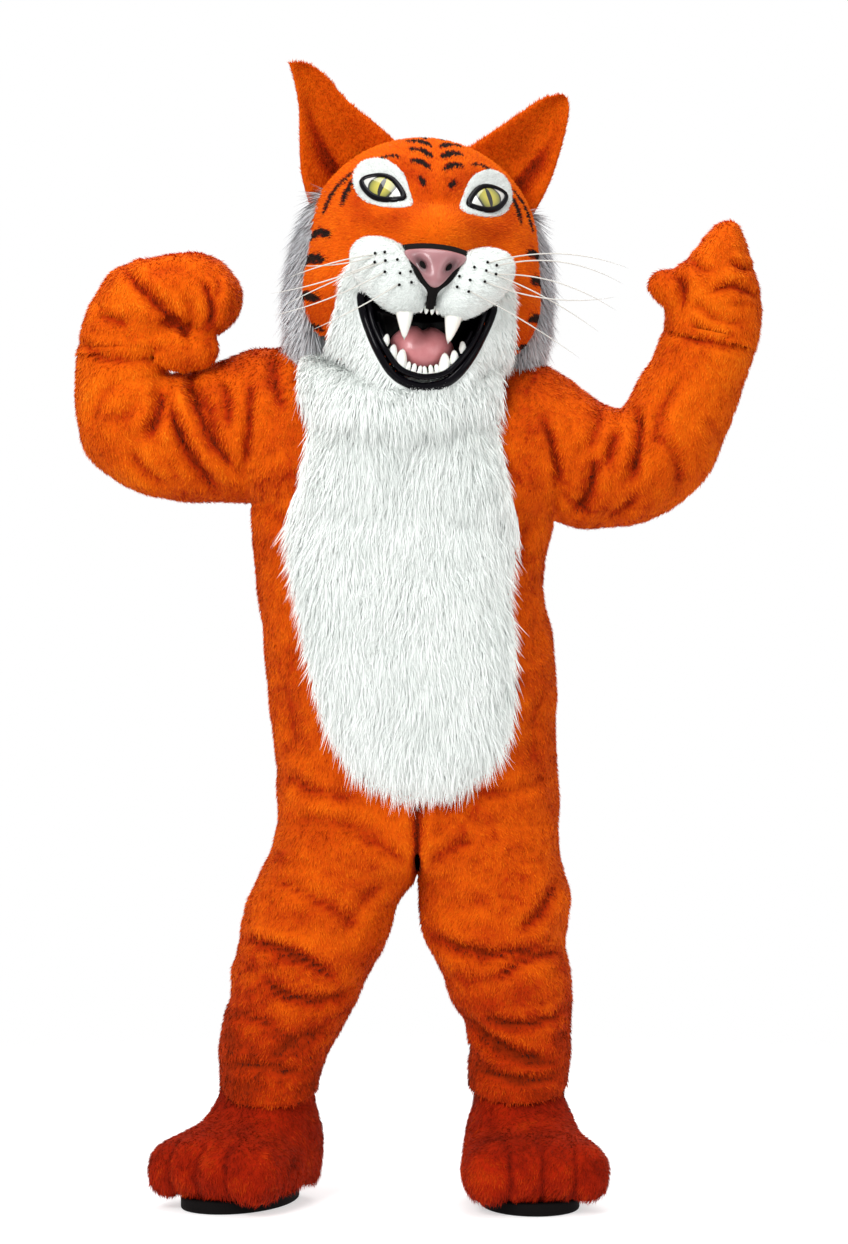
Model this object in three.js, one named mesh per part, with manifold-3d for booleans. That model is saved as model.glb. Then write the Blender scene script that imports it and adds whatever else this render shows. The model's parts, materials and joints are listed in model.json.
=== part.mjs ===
// A big-cat mascot costume, filled out as it is worn: plush jumpsuit with a fur bib, mitts, boots and head.
// Millimetres, +Z up, facing -Y. Left and right are the wearer's, so the wearer's right hand is at -X.
import * as THREE from 'three';
import { mergeVertices } from 'three/addons/utils/BufferGeometryUtils.js';
import Module from 'manifold-3d';

const wasm = await Module();
wasm.setup();

// ---- driving sizes ----
const SHOULDER_HEIGHT = 1480; // above the floor, where the suit hangs; heights below are above the floor
const CLOTH = 3; // plush with its backing
const SEAM = 0.3; // between two sewn pieces
const SHELL = 4; // moulded head with its plush
const BIB_PILE = 18; // reach of the long pile on the chest
const MID_X = -4; // centre seam between the legs
const HIP_HEIGHT = 656; // seam between body and legs
const CROTCH_HEIGHT = 565;
const COLUMNS = 7; // steps across a body panel, and half the steps round a sleeve
const SOLE_THICK = 22;

const COLOURS = {
  orange: 0xd9620f, white: 0xe8efec, grey: 0xb4b6b6, black: 0x14100e, nose: 0xb98a8c,
  tongue: 0xca7b87, tooth: 0xf6f4ee, iris: 0xa09a3c, sole: 0x1a100e, rust: 0xa52a02,
};
const FINISHES = {
  plush: { roughness: 0.95, metalness: 0 },
  gloss: { roughness: 0.15, metalness: 0 },
};

const costume = new THREE.Group();
const standing = new THREE.Group(); // everything measured from the floor
standing.position.z = -SHOULDER_HEIGHT;
costume.add(standing);

// ---- meshes and solids ----
const TIDY = 0.02; // slivers thinner than this are merged after a cut

function addPiece(parent, name, geometry, colour, finish = 'plush') {
  const material = new THREE.MeshStandardMaterial({ color: COLOURS[colour], ...FINISHES[finish] });
  const mesh = new THREE.Mesh(geometry, material);
  mesh.name = name;
  parent.add(mesh);
  return mesh;
}

function toSolid(geometry) {
  const bare = geometry.clone();
  bare.deleteAttribute('normal');
  bare.deleteAttribute('uv');
  const merged = mergeVertices(bare, 1e-4);
  return new wasm.Manifold(new wasm.Mesh({
    numProp: 3,
    vertProperties: new Float32Array(merged.attributes.position.array),
    triVerts: new Uint32Array(merged.index.array),
  }));
}

function toGeometry(solid) {
  const parts = solid.simplify(TIDY).decompose();
  const volumes = parts.map((part) => part.volume());
  const main = parts[volumes.indexOf(Math.max(...volumes))]; // a cut can leave loose slivers
  const mesh = main.getMesh();
  const geometry = new THREE.BufferGeometry();
  geometry.setAttribute('position', new THREE.BufferAttribute(new Float32Array(mesh.vertProperties), 3));
  geometry.setIndex(new THREE.BufferAttribute(new Uint32Array(mesh.triVerts), 1));
  return geometry;
}

function signedVolume(points, faces) {
  const cross = new THREE.Vector3();
  return faces.reduce((sum, [a, b, c]) => sum + points[a].dot(cross.crossVectors(points[b], points[c])), 0);
}

function closedGeometry(points, faces) {
  const out = signedVolume(points, faces) > 0 ? faces : faces.map(([a, b, c]) => [a, c, b]);
  const geometry = new THREE.BufferGeometry().setFromPoints(points);
  geometry.setIndex(out.flat());
  return geometry;
}

// Quads of a grid whose rows start at the given index; a closed grid also joins its last column to its first.
function gridFaces(rows, columns, start, closed, flip) {
  const faces = [];
  for (let i = 0; i + 1 < rows; i += 1) {
    for (let j = 0; j < (closed ? columns : columns - 1); j += 1) {
      const next = (j + 1) % columns;
      const [a, b] = [start + i * columns + j, start + i * columns + next];
      const [c, d] = [a + columns, b + columns];
      faces.push(...(flip ? [[a, b, c], [b, d, c]] : [[a, c, b], [b, c, d]]));
    }
  }
  return faces;
}

function stripFaces(outer, inner) {
  const faces = [];
  for (let k = 0; k + 1 < outer.length; k += 1) {
    faces.push([outer[k], outer[k + 1], inner[k]], [outer[k + 1], inner[k + 1], inner[k]]);
  }
  return faces;
}

// A wall between two grids of the same size: both faces, and a rim round every open edge.
function wallBetween(outer, inner, closed = false) {
  const [rows, columns] = [outer.length, outer[0].length];
  const half = rows * columns;
  const at = (i, j) => i * columns + (j % columns);
  const range = (count) => [...Array(count).keys()];
  const across = range(closed ? columns + 1 : columns);
  const edges = [across.map((j) => at(0, j)), across.map((j) => at(rows - 1, j)).reverse()];
  if (!closed) {
    edges.push(range(rows).map((i) => at(i, 0)).reverse(), range(rows).map((i) => at(i, columns - 1)));
  }
  const faces = gridFaces(rows, columns, 0, closed, true);
  faces.push(...gridFaces(rows, columns, half, closed, false));
  for (const edge of edges) {
    faces.push(...stripFaces([...edge].reverse(), [...edge].reverse().map((k) => k + half)));
  }
  return closedGeometry([...outer.flat(), ...inner.flat()], faces);
}

// A closed skin over rings, ending in a point or a flat fan at each end.
function loftSolid(rings, firstTip, lastTip) {
  const columns = rings[0].length;
  const points = rings.flat();
  const faces = gridFaces(rings.length, columns, 0, true, false);
  const last = (rings.length - 1) * columns;
  points.push(firstTip ?? middleOf(rings[0]), lastTip ?? middleOf(rings.at(-1)));
  for (let j = 0; j < columns; j += 1) {
    const next = (j + 1) % columns;
    faces.push([j, next, points.length - 2], [last + next, last + j, points.length - 1]);
  }
  return toSolid(closedGeometry(points, faces));
}

function middleOf(ring) {
  return ring.reduce((sum, p) => sum.add(p), new THREE.Vector3()).divideScalar(ring.length);
}

// ---- tables ----
// Rows between the table's own rows, on a smooth curve through them, column by column.
function smoothRows(table, count) {
  const columns = Object.keys(table[0]);
  const last = table.length - 1;
  return [...Array(count).keys()].map((k) => {
    const place = (k / (count - 1)) * last;
    const i = Math.min(Math.floor(place), last - 1);
    const t = place - i;
    const row = {};
    for (const column of columns) {
      const value = (n) => table[Math.min(Math.max(n, 0), last)][column];
      const [p0, p1, p2, p3] = [value(i - 1), value(i), value(i + 1), value(i + 2)];
      const bend = 2 * p0 - 5 * p1 + 4 * p2 - p3 + t * (3 * (p1 - p2) + p3 - p0);
      row[column] = p1 + 0.5 * t * (p2 - p0 + t * bend);
    }
    return row;
  });
}

const power = (value, n) => Math.sign(value) * Math.abs(value) ** (2 / n);

// ---- soft folds: troughs pressed into a surface along a line seen from the front or the back ----
const FOLDS = [
  // side -1 front, +1 back; from and to are x and height; depth and width in mm
  { side: -1, x1: -418, z1: 1405, x2: -462, z2: 1330, depth: 16, width: 20 },
  { side: -1, x1: -398, z1: 1432, x2: -322, z2: 1272, depth: 14, width: 20 },
  { side: 1, x1: -410, z1: 1400, x2: -450, z2: 1310, depth: 12, width: 22 },
  { side: -1, x1: 372, z1: 1362, x2: 360, z2: 1250, depth: 14, width: 18 },
  { side: -1, x1: 300, z1: 1282, x2: 268, z2: 1198, depth: 13, width: 20 },
  { side: 1, x1: 368, z1: 1350, x2: 350, z2: 1235, depth: 12, width: 22 },
  { side: -1, x1: -300, z1: 458, x2: -150, z2: 396, depth: 13, width: 20 },
  { side: -1, x1: -262, z1: 368, x2: -128, z2: 372, depth: 12, width: 20 },
  { side: 1, x1: -300, z1: 430, x2: -140, z2: 420, depth: 13, width: 22 },
  { side: -1, x1: 30, z1: 455, x2: 205, z2: 452, depth: 15, width: 20 },
  { side: -1, x1: 235, z1: 555, x2: 170, z2: 478, depth: 11, width: 20 },
  { side: -1, x1: 88, z1: 312, x2: 215, z2: 250, depth: 14, width: 20 },
  { side: 1, x1: 20, z1: 430, x2: 230, z2: 440, depth: 13, width: 22 },
];

function foldDepth(point) {
  return FOLDS.reduce((sum, fold) => {
    if (Math.sign(point.y) !== fold.side) return sum;
    const run = new THREE.Vector2(fold.x2 - fold.x1, fold.z2 - fold.z1);
    const from = new THREE.Vector2(point.x - fold.x1, point.z - fold.z1);
    const t = Math.min(Math.max(from.dot(run) / run.lengthSq(), 0), 1);
    const away = from.addScaledVector(run, -t).length();
    return sum + fold.depth * Math.exp(-((away / fold.width) ** 2));
  }, 0);
}

// ---- the suit's panels are cut from grids of outer points that share their seams ----
const panels = []; // { name, grid, closed, colour }
const seamNormals = new Map();
const KEY_SHIFT = 0.137; // keeps round values off the edge between two keys
const keyOf = (p) => [p.x, p.y, p.z].map((value) => `${Math.round(value * 100 + KEY_SHIFT)}`).join();

function addNormals({ grid, closed }) {
  const [rows, columns] = [grid.length, grid[0].length];
  for (let i = 0; i + 1 < rows; i += 1) {
    for (let j = 0; j < (closed ? columns : columns - 1); j += 1) {
      const next = (j + 1) % columns;
      const corners = [grid[i][j], grid[i][next], grid[i + 1][next], grid[i + 1][j]];
      const normal = new THREE.Vector3().crossVectors(
        corners[2].clone().sub(corners[0]), corners[3].clone().sub(corners[1]),
      );
      for (const corner of corners) {
        const key = keyOf(corner);
        seamNormals.set(key, (seamNormals.get(key) ?? new THREE.Vector3()).add(normal));
      }
    }
  }
}

const normalAt = (point) => seamNormals.get(keyOf(point)).clone().normalize();

function towards(from, to, distance) {
  return to.clone().sub(from).setLength(distance);
}

// Pulls a grid's open edges in by half a seam, so that the pieces stand clear of each other.
function clearEdges(grid, closed) {
  const [rows, columns] = [grid.length, grid[0].length];
  return grid.map((row, i) => row.map((point, j) => {
    const moved = point.clone();
    if (i === 0) moved.add(towards(point, grid[1][j], SEAM / 2));
    if (i === rows - 1) moved.add(towards(point, grid[rows - 2][j], SEAM / 2));
    if (!closed && j === 0) moved.add(towards(point, row[1], SEAM / 2));
    if (!closed && j === columns - 1) moved.add(towards(point, row[columns - 2], SEAM / 2));
    return moved;
  }));
}

function movedGrid(grid, distance) {
  return grid.map((row) => row.map((point) => point.clone().addScaledVector(normalAt(point), distance)));
}

// Folds are pressed in everywhere but on the seams, and at half depth beside them.
function foldedGrid(grid, closed) {
  const [rows, columns] = [grid.length, grid[0].length];
  return grid.map((row, i) => row.map((point, j) => {
    const steps = Math.min(i, rows - 1 - i, closed ? rows : Math.min(j, columns - 1 - j));
    return point.clone().addScaledVector(normalAt(point), -foldDepth(point) * Math.min(steps / 2, 1));
  }));
}

// ---- body rings, from the hips to the armpits: a row for each height ----
const BODY_POWER = 2.4;
const LOWER_ROWS = 9; // up to the armpits
const BODY_RINGS = [
  { zRight: 656, zLeft: 656, right: -249, left: 241, front: 150, back: 158 },
  { zRight: 728, zLeft: 728, right: -248, left: 240, front: 156, back: 160 },
  { zRight: 812, zLeft: 812, right: -255, left: 234, front: 163, back: 156 },
  { zRight: 900, zLeft: 896, right: -265, left: 237, front: 168, back: 150 },
  { zRight: 990, zLeft: 980, right: -273, left: 229, front: 168, back: 146 },
  { zRight: 1075, zLeft: 1056, right: -284, left: 214, front: 165, back: 146 },
  { zRight: 1153, zLeft: 1128, right: -292, left: 220, front: 160, back: 149 },
  { zRight: 1213, zLeft: 1181, right: -294, left: 234, front: 156, back: 150 },
];

// A point of a body ring: turn 0 is the centre of the front or back, 1 the side seam.
function bodyPoint(row, wearerSide, facing, turn) {
  const side = row[wearerSide];
  const centre = (row.right + row.left) / 2;
  const angle = (turn * Math.PI) / 2;
  const x = centre + (side - centre) * power(Math.sin(angle), BODY_POWER);
  const depth = facing < 0 ? row.front : row.back;
  const share = (x - row.right) / (row.left - row.right);
  const height = row.zRight + share * (row.zLeft - row.zRight);
  return new THREE.Vector3(x, facing * depth * power(Math.cos(angle), BODY_POWER), height);
}

// ---- sleeves: each section runs from the inner side of the bent arm to the outer side ----
const SLEEVE_SECTIONS = {
  right: [
    { inX: -297.5, inZ: 1482, outX: -294, outZ: 1213, y: 0, depth: 118 },
    { inX: -343, inZ: 1463, outX: -360, outZ: 1216, y: 0, depth: 114 },
    { inX: -388, inZ: 1438, outX: -427, outZ: 1220, y: -2, depth: 108 },
    { inX: -416, inZ: 1419, outX: -490, outZ: 1232, y: -5, depth: 104 },
    { inX: -432, inZ: 1410, outX: -553, outZ: 1267, y: -8, depth: 101 },
    { inX: -443, inZ: 1419, outX: -588, outZ: 1312, y: -12, depth: 97 },
    { inX: -446, inZ: 1436, outX: -598, outZ: 1372, y: -16, depth: 92 },
    { inX: -438, inZ: 1459, outX: -600, outZ: 1428, y: -20, depth: 86 },
    { inX: -427, inZ: 1482, outX: -593, outZ: 1477, y: -25, depth: 80 },
  ],
  left: [
    { inX: 224, inZ: 1452, outX: 234, outZ: 1181, y: 0, depth: 118 },
    { inX: 271, inZ: 1421, outX: 280, outZ: 1172, y: 0, depth: 114 },
    { inX: 311, inZ: 1391, outX: 338, outZ: 1174, y: -3, depth: 108 },
    { inX: 338, inZ: 1375, outX: 402, outZ: 1186, y: -8, depth: 103 },
    { inX: 353, inZ: 1377, outX: 460, outZ: 1218, y: -12, depth: 99 },
    { inX: 367, inZ: 1400, outX: 502, outZ: 1265, y: -17, depth: 94 },
    { inX: 381, inZ: 1426, outX: 528, outZ: 1323, y: -21, depth: 89 },
    { inX: 399, inZ: 1455, outX: 553, outZ: 1389, y: -26, depth: 84 },
    { inX: 413, inZ: 1488, outX: 574, outZ: 1449, y: -30, depth: 80 },
    { inX: 427, inZ: 1519, outX: 584, outZ: 1487, y: -34, depth: 76 },
  ],
};
const SLEEVE_RINGS = 11;

// A ring on a section: it starts at the outer side and goes round by the front.
function sectionRing(row, columns, roundness = 2) {
  const inner = new THREE.Vector3(row.inX, row.y, row.inZ);
  const outer = new THREE.Vector3(row.outX, row.y, row.outZ);
  const centre = inner.clone().add(outer).divideScalar(2);
  const arm = outer.clone().sub(centre);
  return [...Array(columns).keys()].map((j) => {
    const angle = (j / columns) * 2 * Math.PI;
    const point = centre.clone().addScaledVector(arm, power(Math.cos(angle), roundness));
    point.y -= row.depth * power(Math.sin(angle), roundness);
    return point;
  });
}

function buildSleeve(side) {
  const rings = smoothRows(SLEEVE_SECTIONS[side], SLEEVE_RINGS).map((row) => sectionRing(row, 2 * COLUMNS));
  panels.push({ name: `sleeve_${side}`, grid: rings, closed: true, colour: 'orange' });
}

// ---- upper body: spanned between the armpit ring, armhole, shoulder seam, neckline and centre ----
const NECK = {
  right: new THREE.Vector3(-94, 0, 1494),
  left: new THREE.Vector3(88, 0, 1472),
  front: new THREE.Vector3(-6, -98, 1428),
  back: new THREE.Vector3(-6, 92, 1488),
};
const NECK_SHARE = 3 / COLUMNS; // of the upper edge, the rest is the shoulder seam

function topEdge(side, facing, turn) {
  const point = NECK[side];
  const middle = facing < 0 ? NECK.front : NECK.back;
  if (turn > NECK_SHARE) {
    const row = SLEEVE_SECTIONS[side][0];
    const armTop = new THREE.Vector3(row.inX, 0, row.inZ);
    return point.clone().lerp(armTop, (turn - NECK_SHARE) / (1 - NECK_SHARE));
  }
  const angle = (turn / NECK_SHARE) * (Math.PI / 2);
  return new THREE.Vector3(
    middle.x + (point.x - middle.x) * Math.sin(angle),
    middle.y * Math.cos(angle),
    point.z + (middle.z - point.z) * Math.cos(angle),
  );
}

function upperPoint(side, facing, turn, rise) {
  const armpits = BODY_RINGS.at(-1);
  const base = (s) => bodyPoint(armpits, side, facing, s);
  const top = (s) => topEdge(side, facing, s);
  const centre = (t) => {
    const point = base(0).lerp(top(0), t);
    point.y += facing * 22 * Math.sin(Math.PI * t); // the chest stays full up to the neck
    return point;
  };
  const armhole = (t) => {
    const ring = sectionRing(SLEEVE_SECTIONS[side][0], 2 * COLUMNS);
    const step = Math.round(t * COLUMNS);
    return ring[facing < 0 ? step : (2 * COLUMNS - step) % (2 * COLUMNS)];
  };
  const blend = (a, b, t) => a.clone().multiplyScalar(1 - t).addScaledVector(b, t);
  return blend(base(turn), top(turn), rise)
    .add(blend(centre(rise), armhole(rise), turn))
    .sub(blend(blend(base(0), base(1), turn), blend(top(0), top(1), turn), rise));
}

function bodyGrid(side, facing, turns) {
  const rings = smoothRows(BODY_RINGS, LOWER_ROWS);
  const lower = rings.map((row) => turns.map((turn) => bodyPoint(row, side, facing, turn)));
  const upper = [...Array(COLUMNS).keys()].map((k) => (
    turns.map((turn) => upperPoint(side, facing, turn, (k + 1) / COLUMNS))
  ));
  return [...lower, ...upper];
}

const TURNS = [...Array(COLUMNS + 1).keys()].map((k) => k / COLUMNS);

function buildBody() {
  for (const side of ['right', 'left']) {
    panels.push({ name: `front_${side}`, grid: bodyGrid(side, -1, TURNS), closed: false, colour: 'orange' });
    panels.push({ name: `back_${side}`, grid: bodyGrid(side, 1, TURNS), closed: false, colour: 'orange' });
  }
}

// ---- legs: rings from the hips to the hem; above the crotch each ring starts on the centre seam ----
const LEG_RINGS = {
  right: [
    { z: 656, outer: -249, inner: -4, front: 150, back: 158, y: 0, roundness: 2.4, hem: 0 },
    { z: 610, outer: -259, inner: -6, front: 146, back: 152, y: 0, roundness: 2.4, hem: 0 },
    { z: 565, outer: -278, inner: -8, front: 138, back: 142, y: 0, roundness: 2.3, hem: 0 },
    { z: 518, outer: -301, inner: -37, front: 128, back: 130, y: 0, roundness: 2.2, hem: 0 },
    { z: 476, outer: -310, inner: -51, front: 122, back: 120, y: 0, roundness: 2.2, hem: 0 },
    { z: 434, outer: -317, inner: -66, front: 116, back: 112, y: 0, roundness: 2.2, hem: 0 },
    { z: 392, outer: -329, inner: -89, front: 109, back: 108, y: 2, roundness: 2.2, hem: 0 },
    { z: 350, outer: -332, inner: -107, front: 103, back: 106, y: 4, roundness: 2.2, hem: 0 },
    { z: 308, outer: -343, inner: -130, front: 99, back: 103, y: 6, roundness: 2.2, hem: 0 },
    { z: 266, outer: -349, inner: -155, front: 96, back: 98, y: 8, roundness: 2.2, hem: 2 },
    { z: 228, outer: -351, inner: -172, front: 93, back: 93, y: 8, roundness: 2.2, hem: 8 },
    { z: 192, outer: -349, inner: -180, front: 90, back: 88, y: 8, roundness: 2.2, hem: 14 },
  ],
  left: [
    { z: 656, outer: 241, inner: -4, front: 150, back: 158, y: 0, roundness: 2.4, hem: 0 },
    { z: 610, outer: 241, inner: -2, front: 146, back: 152, y: 0, roundness: 2.4, hem: 0 },
    { z: 565, outer: 252, inner: -1, front: 138, back: 142, y: 0, roundness: 2.3, hem: 0 },
    { z: 518, outer: 262, inner: -1, front: 130, back: 130, y: 0, roundness: 2.2, hem: 0 },
    { z: 476, outer: 255, inner: 2, front: 124, back: 120, y: 0, roundness: 2.2, hem: 0 },
    { z: 434, outer: 255, inner: 17, front: 117, back: 112, y: 0, roundness: 2.2, hem: 0 },
    { z: 392, outer: 261, inner: 40, front: 111, back: 108, y: 0, roundness: 2.2, hem: 0 },
    { z: 350, outer: 266, inner: 53, front: 106, back: 106, y: 2, roundness: 2.2, hem: 0 },
    { z: 308, outer: 263, inner: 78, front: 98, back: 101, y: 4, roundness: 2.2, hem: 0 },
    { z: 266, outer: 264, inner: 87, front: 94, back: 97, y: 6, roundness: 2.2, hem: 0 },
    { z: 228, outer: 261, inner: 85, front: 91, back: 93, y: 6, roundness: 2.2, hem: 4 },
    { z: 192, outer: 256, inner: 88, front: 88, back: 88, y: 6, roundness: 2.2, hem: 8 },
  ],
};
const LEG_ROWS = 13;

// Turn 0 is the inner seam, or the centre seam above the crotch, and 1 the outer seam.
function legPoint(row, facing, turn) {
  const climb = Math.min(Math.max((row.z - CROTCH_HEIGHT) / (HIP_HEIGHT - CROTCH_HEIGHT), 0), 1);
  const start = (Math.PI / 2) * Math.sqrt(climb);
  const angle = start + (Math.PI - start) * turn;
  const centre = (row.outer + row.inner) / 2;
  const reach = (row.inner - row.outer) / 2;
  const xAt = (a) => centre + reach * power(Math.cos(a), row.roundness);
  const stretch = (row.inner - row.outer) / (xAt(start) - row.outer);
  const depth = facing < 0 ? row.front : row.back;
  return new THREE.Vector3(
    row.outer + (xAt(angle) - row.outer) * stretch,
    row.y + facing * depth * power(Math.sin(angle), row.roundness),
    row.z - facing * -row.hem * Math.sin(angle),
  );
}

function buildLeg(side) {
  const rows = smoothRows(LEG_RINGS[side], LEG_ROWS);
  for (const [word, facing] of [['front', -1], ['back', 1]]) {
    const grid = rows.map((row) => TURNS.map((turn) => legPoint(row, facing, turn)));
    panels.push({ name: `leg_${word}_${side}`, grid, closed: false, colour: 'orange' });
  }
}

buildBody();
['right', 'left'].forEach(buildSleeve);
['right', 'left'].forEach(buildLeg);

// Every grid is turned so that its quads face outwards before normals are summed at the shared points.
const BODY_AXIS_Y = 0;
for (const panel of panels) {
  const { grid, closed } = panel;
  const i = Math.floor(grid.length / 2);
  const j = Math.floor(COLUMNS / 2);
  const normal = new THREE.Vector3().crossVectors(
    grid[i + 1][j].clone().sub(grid[i][j]), grid[i][j + 1].clone().sub(grid[i][j]),
  );
  const outward = Math.sign(grid[i][j].y - BODY_AXIS_Y);
  if (normal.y * outward > 0) panel.grid = grid.map((row) => [...row].reverse());
}
panels.forEach(addNormals);

// Where walls of different pieces cross at a corner, the second gives way, a seam clear of the first.
const GIVES_WAY = [
  { piece: 'sleeve_right', to: ['front_right', 'back_right'], shift: [-SEAM, 0, 0] },
  { piece: 'sleeve_left', to: ['front_left', 'back_left'], shift: [SEAM, 0, 0] },
];

const walls = new Map();
for (const { name, grid, closed } of panels) {
  const folded = foldedGrid(grid, closed);
  const inner = folded.map((row, i) => row.map((point, j) => (
    point.clone().addScaledVector(normalAt(grid[i][j]), -CLOTH)
  )));
  walls.set(name, wallBetween(clearEdges(folded, closed), clearEdges(inner, closed), closed));
}
for (const { piece, to, shift } of GIVES_WAY) {
  const cut = to.reduce((solid, other) => {
    const neighbour = toSolid(walls.get(other));
    return solid.subtract(neighbour).subtract(neighbour.translate(shift));
  }, toSolid(walls.get(piece)));
  walls.set(piece, toGeometry(cut));
}
for (const { name, colour } of panels) addPiece(standing, name, walls.get(name), colour);

// ---- what lies on the body is made from its points, moved out ----
const gridOf = (name) => panels.find((panel) => panel.name === name).grid;

// Two panels as one grid, from the wearer's right side to the left, so that a piece can cross the centre.
function joinedGrid(rightName, leftName) {
  const offCentre = (point) => Math.abs(point.x - MID_X);
  const centreFirst = (grid) => (
    offCentre(grid[0][0]) < offCentre(grid[0].at(-1)) ? grid : grid.map((row) => [...row].reverse())
  );
  const [right, left] = [centreFirst(gridOf(rightName)), centreFirst(gridOf(leftName))];
  return right.map((row, i) => [...row].reverse().slice(0, -1).concat(left[i]));
}

const front = joinedGrid('front_right', 'front_left');
const back = joinedGrid('back_right', 'back_left');

// A point on a joined grid. Height 0 is the hips, 1 the armpits and 2 the neck; across runs from -1 at one
// side seam, through 0 at the centre, to 1 at the other.
function gridPoint(grid, height, across, distance) {
  const rowPlace = height < 1 ? height * (LOWER_ROWS - 1) : LOWER_ROWS - 1 + (height - 1) * COLUMNS;
  const columnPlace = COLUMNS * (1 + across);
  const i = Math.min(Math.floor(rowPlace), grid.length - 2);
  const j = Math.min(Math.floor(columnPlace), grid[0].length - 2);
  const [s, t] = [columnPlace - j, rowPlace - i];
  const out = (a, b) => grid[a][b].clone().addScaledVector(normalAt(grid[a][b]), distance);
  return out(i, j).lerp(out(i, j + 1), s).lerp(out(i + 1, j).lerp(out(i + 1, j + 1), s), t);
}

// All that the body's cloth fills, grown by a seam, for cutting what lies on it.
const UNDER = -14; // how far that reaches into the body
const skinOf = (name) => toSolid(wallBetween(movedGrid(gridOf(name), SEAM), movedGrid(gridOf(name), UNDER)));
const frontSkin = skinOf('front_right').add(skinOf('front_left'));
const backSkin = skinOf('back_right').add(skinOf('back_left'));

// The bib's outline: a row for each height, with its edges' places across and the reach of its pile.
const BIB_OUTLINE = [
  { height: 0.046, right: -0.17, left: 0.03, reach: 9 },
  { height: 0.08, right: -0.32, left: 0.24, reach: 14 },
  { height: 0.17, right: -0.47, left: 0.45, reach: BIB_PILE },
  { height: 0.33, right: -0.53, left: 0.54, reach: BIB_PILE },
  { height: 0.58, right: -0.55, left: 0.54, reach: BIB_PILE },
  { height: 0.83, right: -0.57, left: 0.58, reach: BIB_PILE },
  { height: 1, right: -0.59, left: 0.61, reach: BIB_PILE },
  { height: 1.37, right: -0.61, left: 0.55, reach: BIB_PILE },
  { height: 1.62, right: -0.59, left: 0.52, reach: BIB_PILE },
  { height: 1.82, right: -0.51, left: 0.49, reach: 14 },
];
const BIB_ROWS = 12;
const BIB_COLUMNS = 7;

function bibGrid(reachOf) {
  return smoothRows(BIB_OUTLINE, BIB_ROWS).map((row) => [...Array(BIB_COLUMNS).keys()].map((k) => {
    const place = row.right + ((row.left - row.right) * k) / (BIB_COLUMNS - 1);
    const edge = k === 0 || k === BIB_COLUMNS - 1;
    return gridPoint(front, row.height, place, reachOf(row, edge));
  }));
}
const bibOuter = bibGrid((row, edge) => row.reach * (edge ? 0.5 : 1));
const bib = toSolid(wallBetween(bibOuter, bibGrid(() => UNDER / 2))).subtract(frontSkin);
addPiece(standing, 'belly_bib', toGeometry(bib), 'white');

// The fly over the back opening: a strip down the centre back, from the neck to the hips.
const FLY = { from: 0.12, to: 1.94, half: 0.06, reach: 3.5, rows: 9 };
function flyGrid(distance) {
  return [...Array(FLY.rows).keys()].map((i) => {
    const height = FLY.from + ((FLY.to - FLY.from) * i) / (FLY.rows - 1);
    return [-FLY.half, 0, FLY.half].map((across) => gridPoint(back, height, across, distance));
  });
}
const fly = toSolid(wallBetween(flyGrid(FLY.reach), flyGrid(UNDER / 2))).subtract(backSkin);
addPiece(standing, 'back_fly', toGeometry(fly), 'orange');

// ---- mitts: a bag over the hand with a thumb, open at the wrist ----
const MITTS = {
  right: {
    hand: [
      { inX: -427, inZ: 1482, outX: -593, outZ: 1477, y: -25, depth: 80 },
      { inX: -424, inZ: 1493, outX: -583, outZ: 1533, y: -28, depth: 80 },
      { inX: -417, inZ: 1502, outX: -560, outZ: 1580, y: -32, depth: 80 },
      { inX: -411, inZ: 1507, outX: -524, outZ: 1622, y: -36, depth: 79 },
      { inX: -405, inZ: 1510, outX: -462, outZ: 1636, y: -39, depth: 78 },
      { inX: -399, inZ: 1510, outX: -394, outZ: 1646, y: -41, depth: 76 },
      { inX: -394, inZ: 1507, outX: -341, outZ: 1626, y: -43, depth: 74 },
      { inX: -391, inZ: 1502, outX: -311, outZ: 1584, y: -44, depth: 70 },
      { inX: -388, inZ: 1497, outX: -316, outZ: 1543, y: -45, depth: 62 },
      { inX: -385, inZ: 1493, outX: -338, outZ: 1515, y: -45, depth: 44 },
    ],
    tip: [-366, -45, 1496],
    thumb: [
      { inX: -440, inZ: 1510, outX: -452, outZ: 1472, y: -66, depth: 22 },
      { inX: -408, inZ: 1502, outX: -416, outZ: 1466, y: -72, depth: 22 },
      { inX: -372, inZ: 1494, outX: -376, outZ: 1462, y: -74, depth: 20 },
      { inX: -350, inZ: 1486, outX: -352, outZ: 1466, y: -74, depth: 13 },
    ],
    thumbTip: [-343, -74, 1476],
  },
  left: {
    hand: [
      { inX: 427, inZ: 1519, outX: 584, outZ: 1487, y: -34, depth: 76 },
      { inX: 428, inZ: 1543, outX: 593, outZ: 1535, y: -37, depth: 75 },
      { inX: 431, inZ: 1570, outX: 591, outZ: 1578, y: -41, depth: 73 },
      { inX: 438, inZ: 1604, outX: 580, outZ: 1612, y: -45, depth: 69 },
      { inX: 458, inZ: 1632, outX: 571, outZ: 1638, y: -48, depth: 62 },
      { inX: 486, inZ: 1658, outX: 564, outZ: 1664, y: -50, depth: 52 },
      { inX: 506, inZ: 1686, outX: 556, outZ: 1688, y: -51, depth: 38 },
      { inX: 517, inZ: 1697, outX: 549, outZ: 1699, y: -51, depth: 22 },
    ],
    tip: [533, -51, 1703],
    thumb: [
      { inX: 486, inZ: 1612, outX: 470, outZ: 1538, y: -52, depth: 36 },
      { inX: 440, inZ: 1616, outX: 430, outZ: 1548, y: -56, depth: 34 },
      { inX: 414, inZ: 1615, outX: 408, outZ: 1564, y: -58, depth: 26 },
      { inX: 399, inZ: 1606, outX: 396, outZ: 1578, y: -58, depth: 15 },
    ],
    thumbTip: [391, -58, 1592],
  },
};
const MITT_RINGS = 9;
const THUMB_COLUMNS = 7;

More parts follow.
